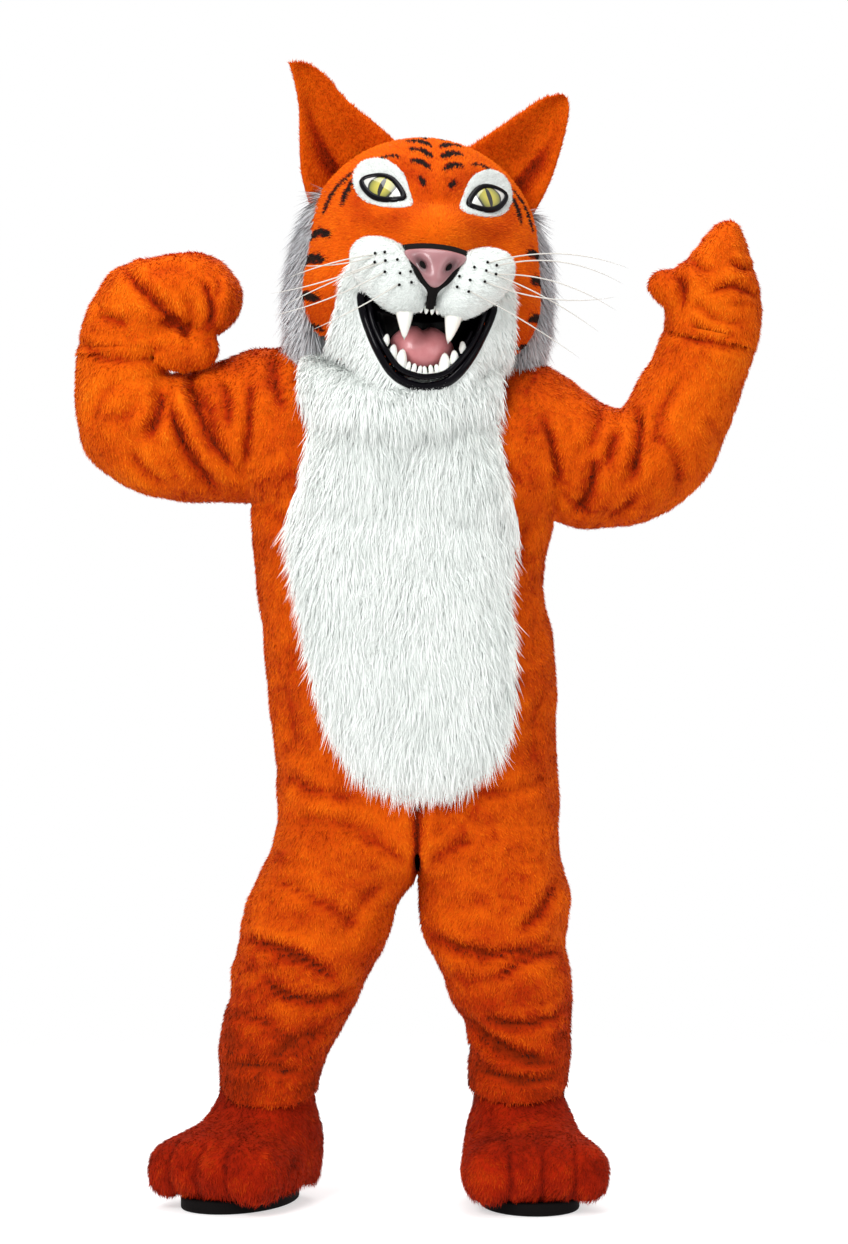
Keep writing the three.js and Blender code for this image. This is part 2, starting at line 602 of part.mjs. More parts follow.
// Rings moved in by the wall, away from the outer skin.
function shrunkRings(rings, tip, wall) {
  return rings.map((ring, i) => ring.map((point, j) => {
    const along = (rings[i + 1]?.[j] ?? tip).clone().sub(rings[i - 1]?.[j] ?? point);
    const around = ring[(j + 1) % ring.length].clone().sub(ring.at(j - 1));
    const normal = new THREE.Vector3().crossVectors(along, around).normalize();
    const inward = middleOf(ring).sub(point);
    return point.clone().addScaledVector(normal, normal.dot(inward) > 0 ? wall : -wall);
  }));
}

// The bag's outside and its hollow, which runs out past the first ring.
function bagSolids(rings, tip, wall, open) {
  const inner = shrunkRings(rings, tip, wall);
  const centre = middleOf(rings[0]);
  const backwards = centre.clone().sub(middleOf(rings[1])).setLength(4 * wall);
  const mouth = open ? [inner[0].map((point) => point.clone().add(backwards))] : [];
  const innerTip = tip.clone().add(towards(tip, middleOf(rings.at(-1)), wall));
  return {
    outside: loftSolid(rings, null, tip),
    hollow: loftSolid([...mouth, ...inner], null, innerTip),
  };
}

function buildMitt(side) {
  const { hand, tip, thumb, thumbTip } = MITTS[side];
  const rows = smoothRows(hand, MITT_RINGS);
  const rings = rows.map((row, i) => sectionRing(row, 2 * COLUMNS, 2 + 0.3 * Math.min(i / 3, 1)));
  const lift = towards(middleOf(rings[0]), middleOf(rings[2]), SEAM);
  const clear = rings.map((ring) => ring.map((point) => point.clone().add(lift)));
  const bag = bagSolids(clear, new THREE.Vector3(...tip), CLOTH, true);
  const thumbRings = thumb.map((row) => sectionRing(row, THUMB_COLUMNS));
  const thumbBag = bagSolids(thumbRings, new THREE.Vector3(...thumbTip), CLOTH, false);
  const skin = bag.outside.add(thumbBag.outside);
  const hollow = bag.hollow.add(thumbBag.hollow.intersect(skin));
  const sleeve = toSolid(walls.get(`sleeve_${side}`));
  const clearOfSleeve = [sleeve, sleeve.translate(lift.toArray()), sleeve.translate([0, 0, SEAM])];
  const wall = clearOfSleeve.reduce((solid, other) => solid.subtract(other), skin.subtract(hollow));
  addPiece(standing, `mitt_${side}`, toGeometry(wall), 'orange');
}
['right', 'left'].forEach(buildMitt);

// ---- boots: sections run from the instep or toe top to the heel or sole, along the foot's own heading ----
const FEET = {
  right: { x: -268, y: 2, turn: -30 },
  left: { x: 174, y: 0, turn: 9 },
};
const BOOT_SECTIONS = [
  { inF: 74, inZ: 208, outF: -74, outZ: 206, half: 71 },
  { inF: 79, inZ: 184, outF: -82, outZ: 170, half: 76 },
  { inF: 92, inZ: 164, outF: -92, outZ: 112, half: 88 },
  { inF: 108, inZ: 152, outF: -88, outZ: 64, half: 96 },
  { inF: 124, inZ: 144, outF: -56, outZ: 23, half: 104 },
  { inF: 142, inZ: 137, outF: 6, outZ: 22.3, half: 113 },
  { inF: 162, inZ: 131, outF: 74, outZ: 22.3, half: 121 },
  { inF: 184, inZ: 124, outF: 140, outZ: 22.3, half: 125 },
  { inF: 206, inZ: 112, outF: 186, outZ: 23, half: 118 },
  { inF: 221, inZ: 92, outF: 212, outZ: 36, half: 98 },
];
const BOOT_TIP = { f: 228, z: 64 };
const BOOT_RINGS = 9;
const BOOT_POWER = 2.6;
const BOOT_WALL = 4; // plush over foam

function footPoint(foot, forward, across, height) {
  const turn = THREE.MathUtils.degToRad(foot.turn);
  return new THREE.Vector3(
    foot.x + forward * Math.sin(turn) + across * Math.cos(turn),
    foot.y - forward * Math.cos(turn) + across * Math.sin(turn),
    height,
  );
}

function bootRing(foot, row) {
  return [...Array(2 * COLUMNS).keys()].map((j) => {
    const angle = (j / (2 * COLUMNS)) * 2 * Math.PI;
    const share = (1 + power(Math.cos(angle), BOOT_POWER)) / 2;
    return footPoint(
      foot, row.inF + (row.outF - row.inF) * share, row.half * power(Math.sin(angle), BOOT_POWER),
      Math.max(row.inZ + (row.outZ - row.inZ) * share, SOLE_THICK + SEAM),
    );
  });
}

// The sole: a thick rubber plate with rounded ends, a little inside the boot's outline.
const SOLE_OUTLINE = [
  { f: -72, half: 30 }, { f: -50, half: 62 }, { f: 0, half: 84 }, { f: 70, half: 102 },
  { f: 140, half: 110 }, { f: 186, half: 98 }, { f: 208, half: 66 }, { f: 214, half: 34 },
];

function buildBoot(side) {
  const foot = FEET[side];
  const rings = smoothRows(BOOT_SECTIONS, BOOT_RINGS).map((row) => bootRing(foot, row));
  const bag = bagSolids(rings, footPoint(foot, BOOT_TIP.f, 0, BOOT_TIP.z), BOOT_WALL, true);
  const skin = ['front', 'back'].reduce(
    (solid, word) => {
      const leg = toSolid(walls.get(`leg_${word}_${side}`));
      return [[0, 0, 0], [0, 0, -2 * SEAM], [0, SEAM, 0]].reduce(
        (cut, shift) => cut.subtract(leg.translate(shift)), solid,
      );
    },
    bag.outside.subtract(bag.hollow),
  );
  addPiece(standing, `boot_${side}`, toGeometry(skin), 'rust');
  const edge = [1, -1].flatMap((sign) => {
    const side = SOLE_OUTLINE.map(({ f, half }) => [f, sign * half]);
    return sign > 0 ? side : side.reverse();
  });
  const outline = new THREE.Shape(edge.map(([f, across]) => {
    const point = footPoint(foot, f, across, 0);
    return new THREE.Vector2(point.x, point.y);
  }));
  const plate = new THREE.ExtrudeGeometry(outline, { depth: SOLE_THICK, bevelEnabled: false });
  addPiece(standing, `sole_${side}`, toGeometry(toSolid(plate)), 'sole');
}
['right', 'left'].forEach(buildBoot);

// ---- head: measured from its own centre, then tilted and turned on the shoulders ----
const head = new THREE.Group();
const HEAD = { x: 4, y: -10, z: 1643, tilt: 5, turn: 6 };
head.position.set(HEAD.x, HEAD.y, HEAD.z);
head.rotation.order = 'ZYX';
head.rotation.set(0, THREE.MathUtils.degToRad(HEAD.tilt), THREE.MathUtils.degToRad(HEAD.turn));
standing.add(head);

// Rounded masses that melt into one form.
const HEAD_MASSES = [
  { x: 0, y: 22, z: 12, rx: 204, ry: 196, rz: 196 }, // skull
  { x: -104, y: -36, z: -98, rx: 84, ry: 108, rz: 96 }, // cheeks
  { x: 104, y: -36, z: -98, rx: 84, ry: 108, rz: 96 },
  { x: 0, y: -122, z: 6, rx: 68, ry: 112, rz: 52 }, // snout
  { x: 0, y: -150, z: -66, rx: 92, ry: 84, rz: 44 }, // upper jaw
  { x: 0, y: -110, z: -166, rx: 110, ry: 100, rz: 98 }, // chin
];
const MELT = 16; // mm over which the masses blend

function headField(p) {
  const sum = HEAD_MASSES.reduce((total, m) => {
    const q = Math.hypot((p.x - m.x) / m.rx, (p.y - m.y) / m.ry, (p.z - m.z) / m.rz);
    return total + Math.exp(((1 - q) * Math.min(m.rx, m.ry, m.rz)) / MELT);
  }, 0);
  return -MELT * Math.log(sum);
}

// How far the head's skin is from its centre in a direction.
function headReach(direction) {
  let [near, far] = [20, 420];
  for (let step = 0; step < 40; step += 1) {
    const middle = (near + far) / 2;
    if (headField(direction.clone().multiplyScalar(middle)) < 0) near = middle;
    else far = middle;
  }
  return near;
}

const HEAD_ROUND = 20;
const HEAD_RISE = 13;
const headRays = [...Array(HEAD_RISE).keys()].map((i) => {
  const rise = -Math.PI / 2 + (Math.PI * (i + 1)) / (HEAD_RISE + 1);
  return [...Array(HEAD_ROUND).keys()].map((j) => {
    const round = (2 * Math.PI * (j + 0.5)) / HEAD_ROUND;
    const ray = new THREE.Vector3(
      Math.cos(rise) * Math.sin(round), -Math.cos(rise) * Math.cos(round), Math.sin(rise),
    );
    return { ray, reach: headReach(ray) };
  });
});
const HEAD_POLES = [new THREE.Vector3(0, 0, -1), new THREE.Vector3(0, 0, 1)];

// The whole head as a solid, grown or shrunk from its skin.
function headSolid(grow) {
  const rings = headRays.map((row) => row.map(({ ray, reach }) => ray.clone().multiplyScalar(reach + grow)));
  const tips = HEAD_POLES.map((pole) => pole.clone().multiplyScalar(headReach(pole) + grow));
  return loftSolid(rings, tips[0], tips[1]);
}

// A smooth closed outline seen from the front, as [x, height] pairs.
function smoothOutline(points, steps) {
  const curve = new THREE.CatmullRomCurve3(points.map(([x, z]) => new THREE.Vector3(x, z, 0)), true);
  return curve.getPoints(steps).slice(0, -1).map((p) => [p.x, p.y]);
}

// The same outline pushed back through the head.
function pushedBack(points, front, backY, steps = OUTLINE_STEPS) {
  const shape = new THREE.Shape(smoothOutline(points, steps).map(([x, z]) => new THREE.Vector2(x, z)));
  const geometry = new THREE.ExtrudeGeometry(shape, { depth: backY - front, bevelEnabled: false });
  geometry.rotateX(Math.PI / 2); // the outline's second number becomes the height
  geometry.translate(0, backY, 0);
  return toSolid(geometry);
}

const mirrored = (points) => points.map(([x, z]) => [-x, z]).reverse();
const bothSides = (half) => [...half, ...mirrored(half)];
const grownOutline = (points, grow, centre) => points.map(([x, z]) => {
  const away = Math.hypot(x - centre[0], z - centre[1]);
  return [x + ((x - centre[0]) / away) * grow, z + ((z - centre[1]) / away) * grow];
});

function layer(low, high, outline) {
  return headSolid(high).subtract(headSolid(low)).intersect(outline);
}

const FRONT = -420; // in front of everything on the head
const OUTLINE_STEPS = 20;
const MOUTH_STEPS = 20;
const MOUTH_CENTRE = [0, -150];
const MOUTH = bothSides([[16, -234], [50, -218], [82, -174], [103, -122], [106, -84], [70, -92], [24, -100]]);
const LIP = 11; // width of the glossy lip
const MOUTH_DEPTH = -62; // how far back the mouth reaches
const grownMouth = (grow) => grownOutline(MOUTH, grow, MOUTH_CENTRE);
const mouthCut = (grow) => pushedBack(grownMouth(grow), FRONT, MOUTH_DEPTH + grow, MOUTH_STEPS);

// The opening for the wearer's head and shoulders, seen from the side: [y, height from the head's centre].
const NECK_CUT = [
  [-168, -330], [-168, -232], [-118, -184], [-62, -142], [20, -128], [330, -118], [330, -330],
];
function sidewaysSolid(outline, half) {
  const shape = new THREE.Shape(outline.map(([y, z]) => new THREE.Vector2(y, z)));
  const geometry = new THREE.ExtrudeGeometry(shape, { depth: 2 * half, bevelEnabled: false });
  geometry.rotateX(Math.PI / 2);
  geometry.rotateZ(Math.PI / 2);
  geometry.translate(-half, 0, 0);
  return toSolid(geometry);
}
const neckCut = sidewaysSolid(NECK_CUT, 300);

const shell = headSolid(0).subtract(headSolid(-SHELL)).subtract(neckCut).subtract(mouthCut(SEAM));
addPiece(head, 'head_shell', toGeometry(shell), 'orange');

// Mouth: a liner set into the shell, a glossy lip round it, the tongue and the teeth.
function mouthBag(shrink) {
  const outline = smoothOutline(grownMouth(-shrink), MOUTH_STEPS);
  const rings = [
    { y: -330, scale: 1.0 }, { y: -190, scale: 1.0 }, { y: -130, scale: 0.92 }, { y: -88, scale: 0.72 },
  ].map(({ y, scale }) => outline.map(([x, z]) => new THREE.Vector3(
    MOUTH_CENTRE[0] + (x - MOUTH_CENTRE[0]) * scale, y - (scale < 0.8 ? shrink : 0),
    MOUTH_CENTRE[1] + (z - MOUTH_CENTRE[1]) * scale,
  )));
  return loftSolid(rings, null, null);
}
const LINER = 2.5;
const liner = mouthBag(0.5).subtract(mouthBag(0.5 + LINER)).intersect(headSolid(-0.5));
addPiece(head, 'mouth_liner', toGeometry(liner), 'black', 'gloss');
const cavity = mouthBag(0.5 + LINER + SEAM);

const LIP_HEIGHT = 9;
function lipBand(grow) {
  const outside = pushedBack(grownMouth(LIP + grow), FRONT, grow - 118, MOUTH_STEPS);
  const hole = pushedBack(grownMouth(-1 - grow), FRONT - 10, 0, MOUTH_STEPS);
  return layer(SEAM - grow, LIP_HEIGHT + grow, outside).subtract(hole);
}
addPiece(head, 'mouth_lip', toGeometry(lipBand(0)), 'black', 'gloss');

// An oval mass: half-sizes, place and a tilt about the depth axis.
function oval({ x, y, z, rx, ry, rz, tilt = 0 }, round = 16, rise = 10) {
  const geometry = new THREE.SphereGeometry(1, round, rise);
  geometry.rotateX(Math.PI / 2);
  geometry.scale(rx, ry, rz);
  geometry.rotateY(THREE.MathUtils.degToRad(tilt));
  geometry.translate(x, y, z);
  return toSolid(geometry);
}

const tongue = oval({ x: 0, y: -150, z: -188, rx: 50, ry: 66, rz: 40 }).intersect(cavity);
addPiece(head, 'tongue', toGeometry(tongue), 'tongue', 'gloss');

// A tooth: a cone with a rounded tip, from its root to its tip.
function toothSolid({ x, z, tipX, tipZ, y, radius, sides }) {
  const long = Math.hypot(tipX - x, tipZ - z);
  const profile = [[0, 0], [1, 0], [0.75, 0.6], [0, 1]]
    .map(([across, along]) => new THREE.Vector2(across * radius, along * long));
  const geometry = new THREE.LatheGeometry(profile, sides);
  const direction = new THREE.Vector3(tipX - x, 0, tipZ - z).normalize();
  geometry.applyQuaternion(new THREE.Quaternion().setFromUnitVectors(new THREE.Vector3(0, 1, 0), direction));
  geometry.translate(x, y, z);
  return toSolid(geometry);
}
const tongueRoom = tongue.translate([0, 0, SEAM]);
const clearOfTongue = (solid) => solid.subtract(tongueRoom).subtract(tongue.translate([0, -SEAM, 0]))
  .subtract(tongue.translate([SEAM, 0, 0])).subtract(tongue.translate([-SEAM, 0, 0]));
const FANG = { x: 42, z: -86, tipX: 38, tipZ: -152, y: -204, radius: 14, sides: 10 };
for (const [side, sign] of [['right', -1], ['left', 1]]) {
  const fang = toothSolid({ ...FANG, x: sign * FANG.x, tipX: sign * FANG.tipX });
  addPiece(head, `fang_${side}`, toGeometry(fang.intersect(cavity)), 'tooth', 'gloss');
}
// The small upper teeth share one gum strip, and so do the lower ones.
const UPPER_TEETH = { half: 17, teeth: 6, radius: 5, long: 14, root: -104, y: -204 };
const upperStrip = [...Array(UPPER_TEETH.teeth).keys()].reduce((solid, k) => {
  const x = UPPER_TEETH.half * ((2 * k) / (UPPER_TEETH.teeth - 1) - 1);
  const { root: z, long, y, radius } = UPPER_TEETH;
  return solid.add(toothSolid({ x, z, tipX: x, tipZ: z - long, y, radius, sides: 5 }));
}, oval({ x: 0, y: UPPER_TEETH.y, z: UPPER_TEETH.root, rx: UPPER_TEETH.half + 6, ry: 6, rz: 7 }, 10, 6));
addPiece(head, 'upper_teeth', toGeometry(upperStrip.intersect(cavity)), 'tooth', 'gloss');

// Lower teeth follow the jaw: a row for each pair, from the middle past the canines to the sides.
const LOWER_TEETH = [
  { x: 10, z: -238, long: 17, radius: 8.5 }, { x: 26, z: -232, long: 19, radius: 8.5 },
  { x: 43, z: -222, long: 36, radius: 11.5 }, { x: 58, z: -206, long: 22, radius: 9.5 },
  { x: 70, z: -190, long: 22, radius: 9.5 }, { x: 80, z: -172, long: 20, radius: 9 },
];
const LOWER_Y = { front: -196, back: -168 };
const GUM = 11; // width of the strip round the lower jaw that the teeth stand in
const gumRoom = sidewaysSolid([[-206, -262], [-206, -196], [-156, -160], [-156, -262]], 120);
const gumHole = pushedBack(grownMouth(-GUM), FRONT, 0, MOUTH_STEPS);
let lowerRow = cavity.intersect(gumRoom).subtract(gumHole);
for (const sign of [-1, 1]) {
  LOWER_TEETH.forEach(({ x, z, long, radius }, k) => {
    const y = LOWER_Y.front + ((LOWER_Y.back - LOWER_Y.front) * k) / (LOWER_TEETH.length - 1);
    const lean = x * 0.12;
    const tip = { tipX: sign * (x - lean), tipZ: z + long };
    lowerRow = lowerRow.add(toothSolid({ x: sign * x, z, ...tip, y, radius, sides: 6 }));
  });
}
addPiece(head, 'lower_teeth', toGeometry(clearOfTongue(lowerRow).intersect(cavity)), 'tooth', 'gloss');

// Muzzle: two plush pads either side of a nose, each on the face below it.
const PAD = { x: 70, y: -206, z: -42, rx: 74, ry: 46, rz: 50, tilt: 24 };
const NOSE_OUTLINE = bothSides([[6, -60], [24, -40], [50, -6], [58, 12], [30, 18]]);
const noseRoom = pushedBack(grownOutline(NOSE_OUTLINE, SEAM, [0, -10]), FRONT, 0);
const mouthRoom = pushedBack(grownMouth(-2), FRONT, 0, MOUTH_STEPS);
const grownHead = headSolid(SEAM);
// The groove under the nose, between the pads.
const padGap = sidewaysSolid([[FRONT, -200], [FRONT, 100], [0, 100], [0, -200]], 4);
const lipRoom = lipBand(SEAM);
const pads = {};
for (const [side, sign] of [['right', -1], ['left', 1]]) {
  const pad = oval({ ...PAD, x: sign * PAD.x, tilt: sign * PAD.tilt }, 14, 9)
    .subtract(grownHead).subtract(noseRoom).subtract(padGap).subtract(mouthRoom)
    .subtract(lipRoom);
  pads[side] = pad;
  addPiece(head, `muzzle_pad_${side}`, toGeometry(pad), 'white');
}
const noseMass = oval({ x: 0, y: -205, z: -14, rx: 62, ry: 62, rz: 50 }, 14, 9);
const nose = noseMass.intersect(pushedBack(NOSE_OUTLINE, FRONT, 0)).subtract(grownHead);
addPiece(head, 'nose', toGeometry(nose), 'nose', 'gloss');

// White patches round the eyes, dark rims and glossy eyes, stacked on the face.
const EYE = [92, 96];
const PATCH = [[44, 62], [78, 58], [118, 74], [136, 104], [128, 134], [98, 144], [66, 128], [50, 92]];
const RIM = [[60, 78], [84, 72], [108, 82], [120, 102], [100, 118], [78, 112]];
const EYE_STACK = { patch: 3, rim: 6.5, bulge: 13 };
for (const [side, sign] of [['right', -1], ['left', 1]]) {
  const place = (points) => (sign > 0 ? points : mirrored(points));
  const centre = [sign * EYE[0], EYE[1]];
  const patch = layer(SEAM, EYE_STACK.patch, pushedBack(place(PATCH), FRONT, 0));
  addPiece(head, `eye_patch_${side}`, toGeometry(patch), 'white');
  const rimOutline = pushedBack(place(RIM), FRONT, 0, 18);
  const eyeOutline = (grow) => pushedBack(grownOutline(place(RIM), grow, centre), FRONT - 10, 0, 18);
  const rim = layer(EYE_STACK.patch + SEAM, EYE_STACK.rim, rimOutline).subtract(eyeOutline(-5));
  addPiece(head, `eye_rim_${side}`, toGeometry(rim), 'black', 'gloss');
  const eye = layer(EYE_STACK.patch + SEAM, EYE_STACK.bulge, eyeOutline(-5.4))
    .intersect(oval({ x: centre[0], y: -128, z: centre[1], rx: 30, ry: 62, rz: 26 }));
  addPiece(head, `eye_${side}`, toGeometry(eye), 'iris', 'gloss');
}

// White plush over the jaw and the long fur hanging from it.
const FUR_DEPTH = 12; // of the plush on the jaw
const JAW = bothSides([[40, -300], [92, -270], [128, -216], [146, -150], [142, -96], [112, -66]]);
const jawOutline = pushedBack(JAW, FRONT, -40, MOUTH_STEPS);
const jawHole = pushedBack(grownMouth(LIP + 1), FRONT - 10, 0, MOUTH_STEPS);
const clearOfPads = ['right', 'left'].reduce((solid, side) => [[0, 0, 0], [0, 0, -SEAM], [0, SEAM, 0]].reduce(
  (cut, shift) => cut.subtract(pads[side].translate(shift)), solid,
), layer(SEAM, FUR_DEPTH, jawOutline));
const jaw = clearOfPads.subtract(jawHole).subtract(neckCut);
addPiece(head, 'jaw_fur', toGeometry(jaw), 'white');

// Ears: cupped plush triangles, a row for each height, seated on the skull.
const EARS = {
  right: { base: [-212, 96, -76, 214], tip: [-262, 312], blunt: 10, back: 26 },
  left: { base: [208, 120, 80, 214], tip: [222, 306], blunt: 26, back: 26 },
};
const EAR = { rows: 7, columns: 7, thick: 14, cup: 34, sink: 30 };
function earWall({ base, tip, blunt, back: depth }) {
  const [outX, outZ, inX, inZ] = base;
  const sheet = (lift) => [...Array(EAR.rows).keys()].map((i) => {
    const up = i / (EAR.rows - 1);
    const sway = Math.sin(Math.PI * up) * 0.1;
    const outward = Math.sign(tip[0]);
    const tipOuter = new THREE.Vector2(tip[0] + (outward * blunt) / 2, tip[1]);
    const tipInner = new THREE.Vector2(tip[0] - outward * blunt, tip[1]);
    const outer = new THREE.Vector2(outX, outZ).lerp(tipOuter, up);
    const inner = new THREE.Vector2(inX, inZ).lerp(tipInner, up ** 0.85);
    const root = new THREE.Vector2(-outward * 0.5, -0.86).multiplyScalar(EAR.sink * (1 - up));
    return [...Array(EAR.columns).keys()].map((j) => {
      const across = j / (EAR.columns - 1);
      const flat = outer.clone().lerp(inner, across).add(root);
      const hollow = Math.sin(Math.PI * across) * EAR.cup * (1 - up) * (1 - 0.3 * lift);
      const forward = 30 * up + lift * EAR.thick * (1 - 0.5 * up);
      return new THREE.Vector3(flat.x * (1 + sway), depth - forward + hollow, flat.y);
    });
  });
  return toSolid(wallBetween(sheet(1), sheet(0)));
}
const ears = {};
for (const side of ['right', 'left']) {
  ears[side] = earWall(EARS[side]).subtract(grownHead);
  addPiece(head, `ear_${side}`, toGeometry(ears[side]), 'orange');
}

// Ruff: long fur behind the cheeks, from under the ears to the jaw.
const RUFF = [
  [150, 120], [206, 96], [240, 20], [252, -60], [250, -130], [232, -196], [196, -246], [150, -226],
  [150, -60],
];
const RUFF_DEPTH = { front: -58, back: 62 };
for (const [side, sign] of [['right', -1], ['left', 1]]) {
  const outline = sign > 0 ? RUFF : mirrored(RUFF);
  const whole = pushedBack(outline, RUFF_DEPTH.front, RUFF_DEPTH.back).subtract(grownHead).subtract(neckCut);
  const besideEar = [[0, 0, 0], [0, 0, -2 * SEAM], [sign * SEAM, 0, 0], [0, -SEAM, 0], [0, SEAM, 0]];
  const ruff = besideEar.reduce((solid, shift) => solid.subtract(ears[side].translate(shift)), whole);
  addPiece(head, `ruff_${side}`, toGeometry(ruff), 'grey');
}

// Whiskers: stiff threads out of the pads, a row for each: root, tip and sag, seen from the front.
const WHISKERS = [
  { side: -1, x: -98, z: -30, tipX: -243, tipZ: -86, sag: 10 },
  { side: -1, x: -108, z: -40, tipX: -270, tipZ: -112, sag: -14 },
  { side: -1, x: -92, z: -52, tipX: -264, tipZ: -146, sag: -16 },
  { side: -1, x: -70, z: -22, tipX: -226, tipZ: -62, sag: -16 },
  { side: -1, x: -66, z: -66, tipX: -196, tipZ: -164, sag: -8 },
  { side: 1, x: 98, z: -26, tipX: 300, tipZ: -16, sag: 18 },
  { side: 1, x: 108, z: -36, tipX: 302, tipZ: -58, sag: 22 },
  { side: 1, x: 92, z: -50, tipX: 298, tipZ: -66, sag: -22 },
  { side: 1, x: 84, z: -58, tipX: 268, tipZ: -116, sag: 6 },
  { side: 1, x: 68, z: -66, tipX: 246, tipZ: -160, sag: 4 },
];
const WHISKER = { radius: 1.1, sides: 4, root: -232, tip: -214, steps: 4 };
const whiskerCount = { '-1': 0, 1: 0 };
for (const { side, x, z, tipX, tipZ, sag } of WHISKERS) {
  const root = new THREE.Vector3(x, WHISKER.root, z);
  const tip = new THREE.Vector3(tipX, WHISKER.tip, tipZ);
  const bend = root.clone().lerp(tip, 0.5);
  bend.z += sag;
  bend.y -= 14;
  const path = new THREE.QuadraticBezierCurve3(root, bend, tip);
  const section = new THREE.Shape([...Array(WHISKER.sides).keys()].map((k) => {
    const angle = (k / WHISKER.sides) * 2 * Math.PI;
    return new THREE.Vector2(WHISKER.radius * Math.cos(angle), WHISKER.radius * Math.sin(angle));
  }));
  const thread = new THREE.ExtrudeGeometry(
    section, { steps: WHISKER.steps, extrudePath: path, bevelEnabled: false },
  );
  whiskerCount[side] += 1;
  const word = side < 0 ? 'right' : 'left';
  const pad = pads[word];
  const clear = [[0, 0, 0], [0, -SEAM, 0], [side * SEAM, 0, 0]].reduce(
    (solid, shift) => solid.subtract(pad.translate(shift)), toSolid(thread),
  );
  addPiece(head, `whisker_${word}_${whiskerCount[side]}`, toGeometry(clear), 'white', 'gloss');
}

// Throat fur: hangs from the jaw over the top of the bib, cut clear of both.
head.updateMatrix();
const onShoulders = (solid) => solid.transform(head.matrix.elements);
const THROAT_FRONT = [
  [-206, 1446], [-214, 1392], [-160, 1338], [-62, 1302], [10, 1294], [82, 1306], [140, 1348], [158, 1400],
  [150, 1440], [-20, 1452],
];
const THROAT_SIDE = [
  [-186, 1290], [-210, 1340], [-214, 1395], [-188, 1422], [-110, 1452], [-60, 1452], [-60, 1290],
];
const headRoom = onShoulders(headSolid(FUR_DEPTH + SEAM));
const throat = pushedBack(THROAT_FRONT, FRONT, 0).intersect(sidewaysSolid(THROAT_SIDE, 260))
  .subtract(frontSkin).subtract(bib).subtract(bib.translate([0, -SEAM, 0]))
  .subtract(bib.translate([0, 0, SEAM])).subtract(headRoom);
addPiece(standing, 'throat_fur', toGeometry(throat), 'white');

export default costume;
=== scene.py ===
"""A big-cat mascot costume as worn: plush jumpsuit with a fur bib, mitts, boots and an open-mouthed head.

Shapes are worked out in millimetres, heights from the floor, left and right the wearer's, facing -Y.
"""
import json
import math

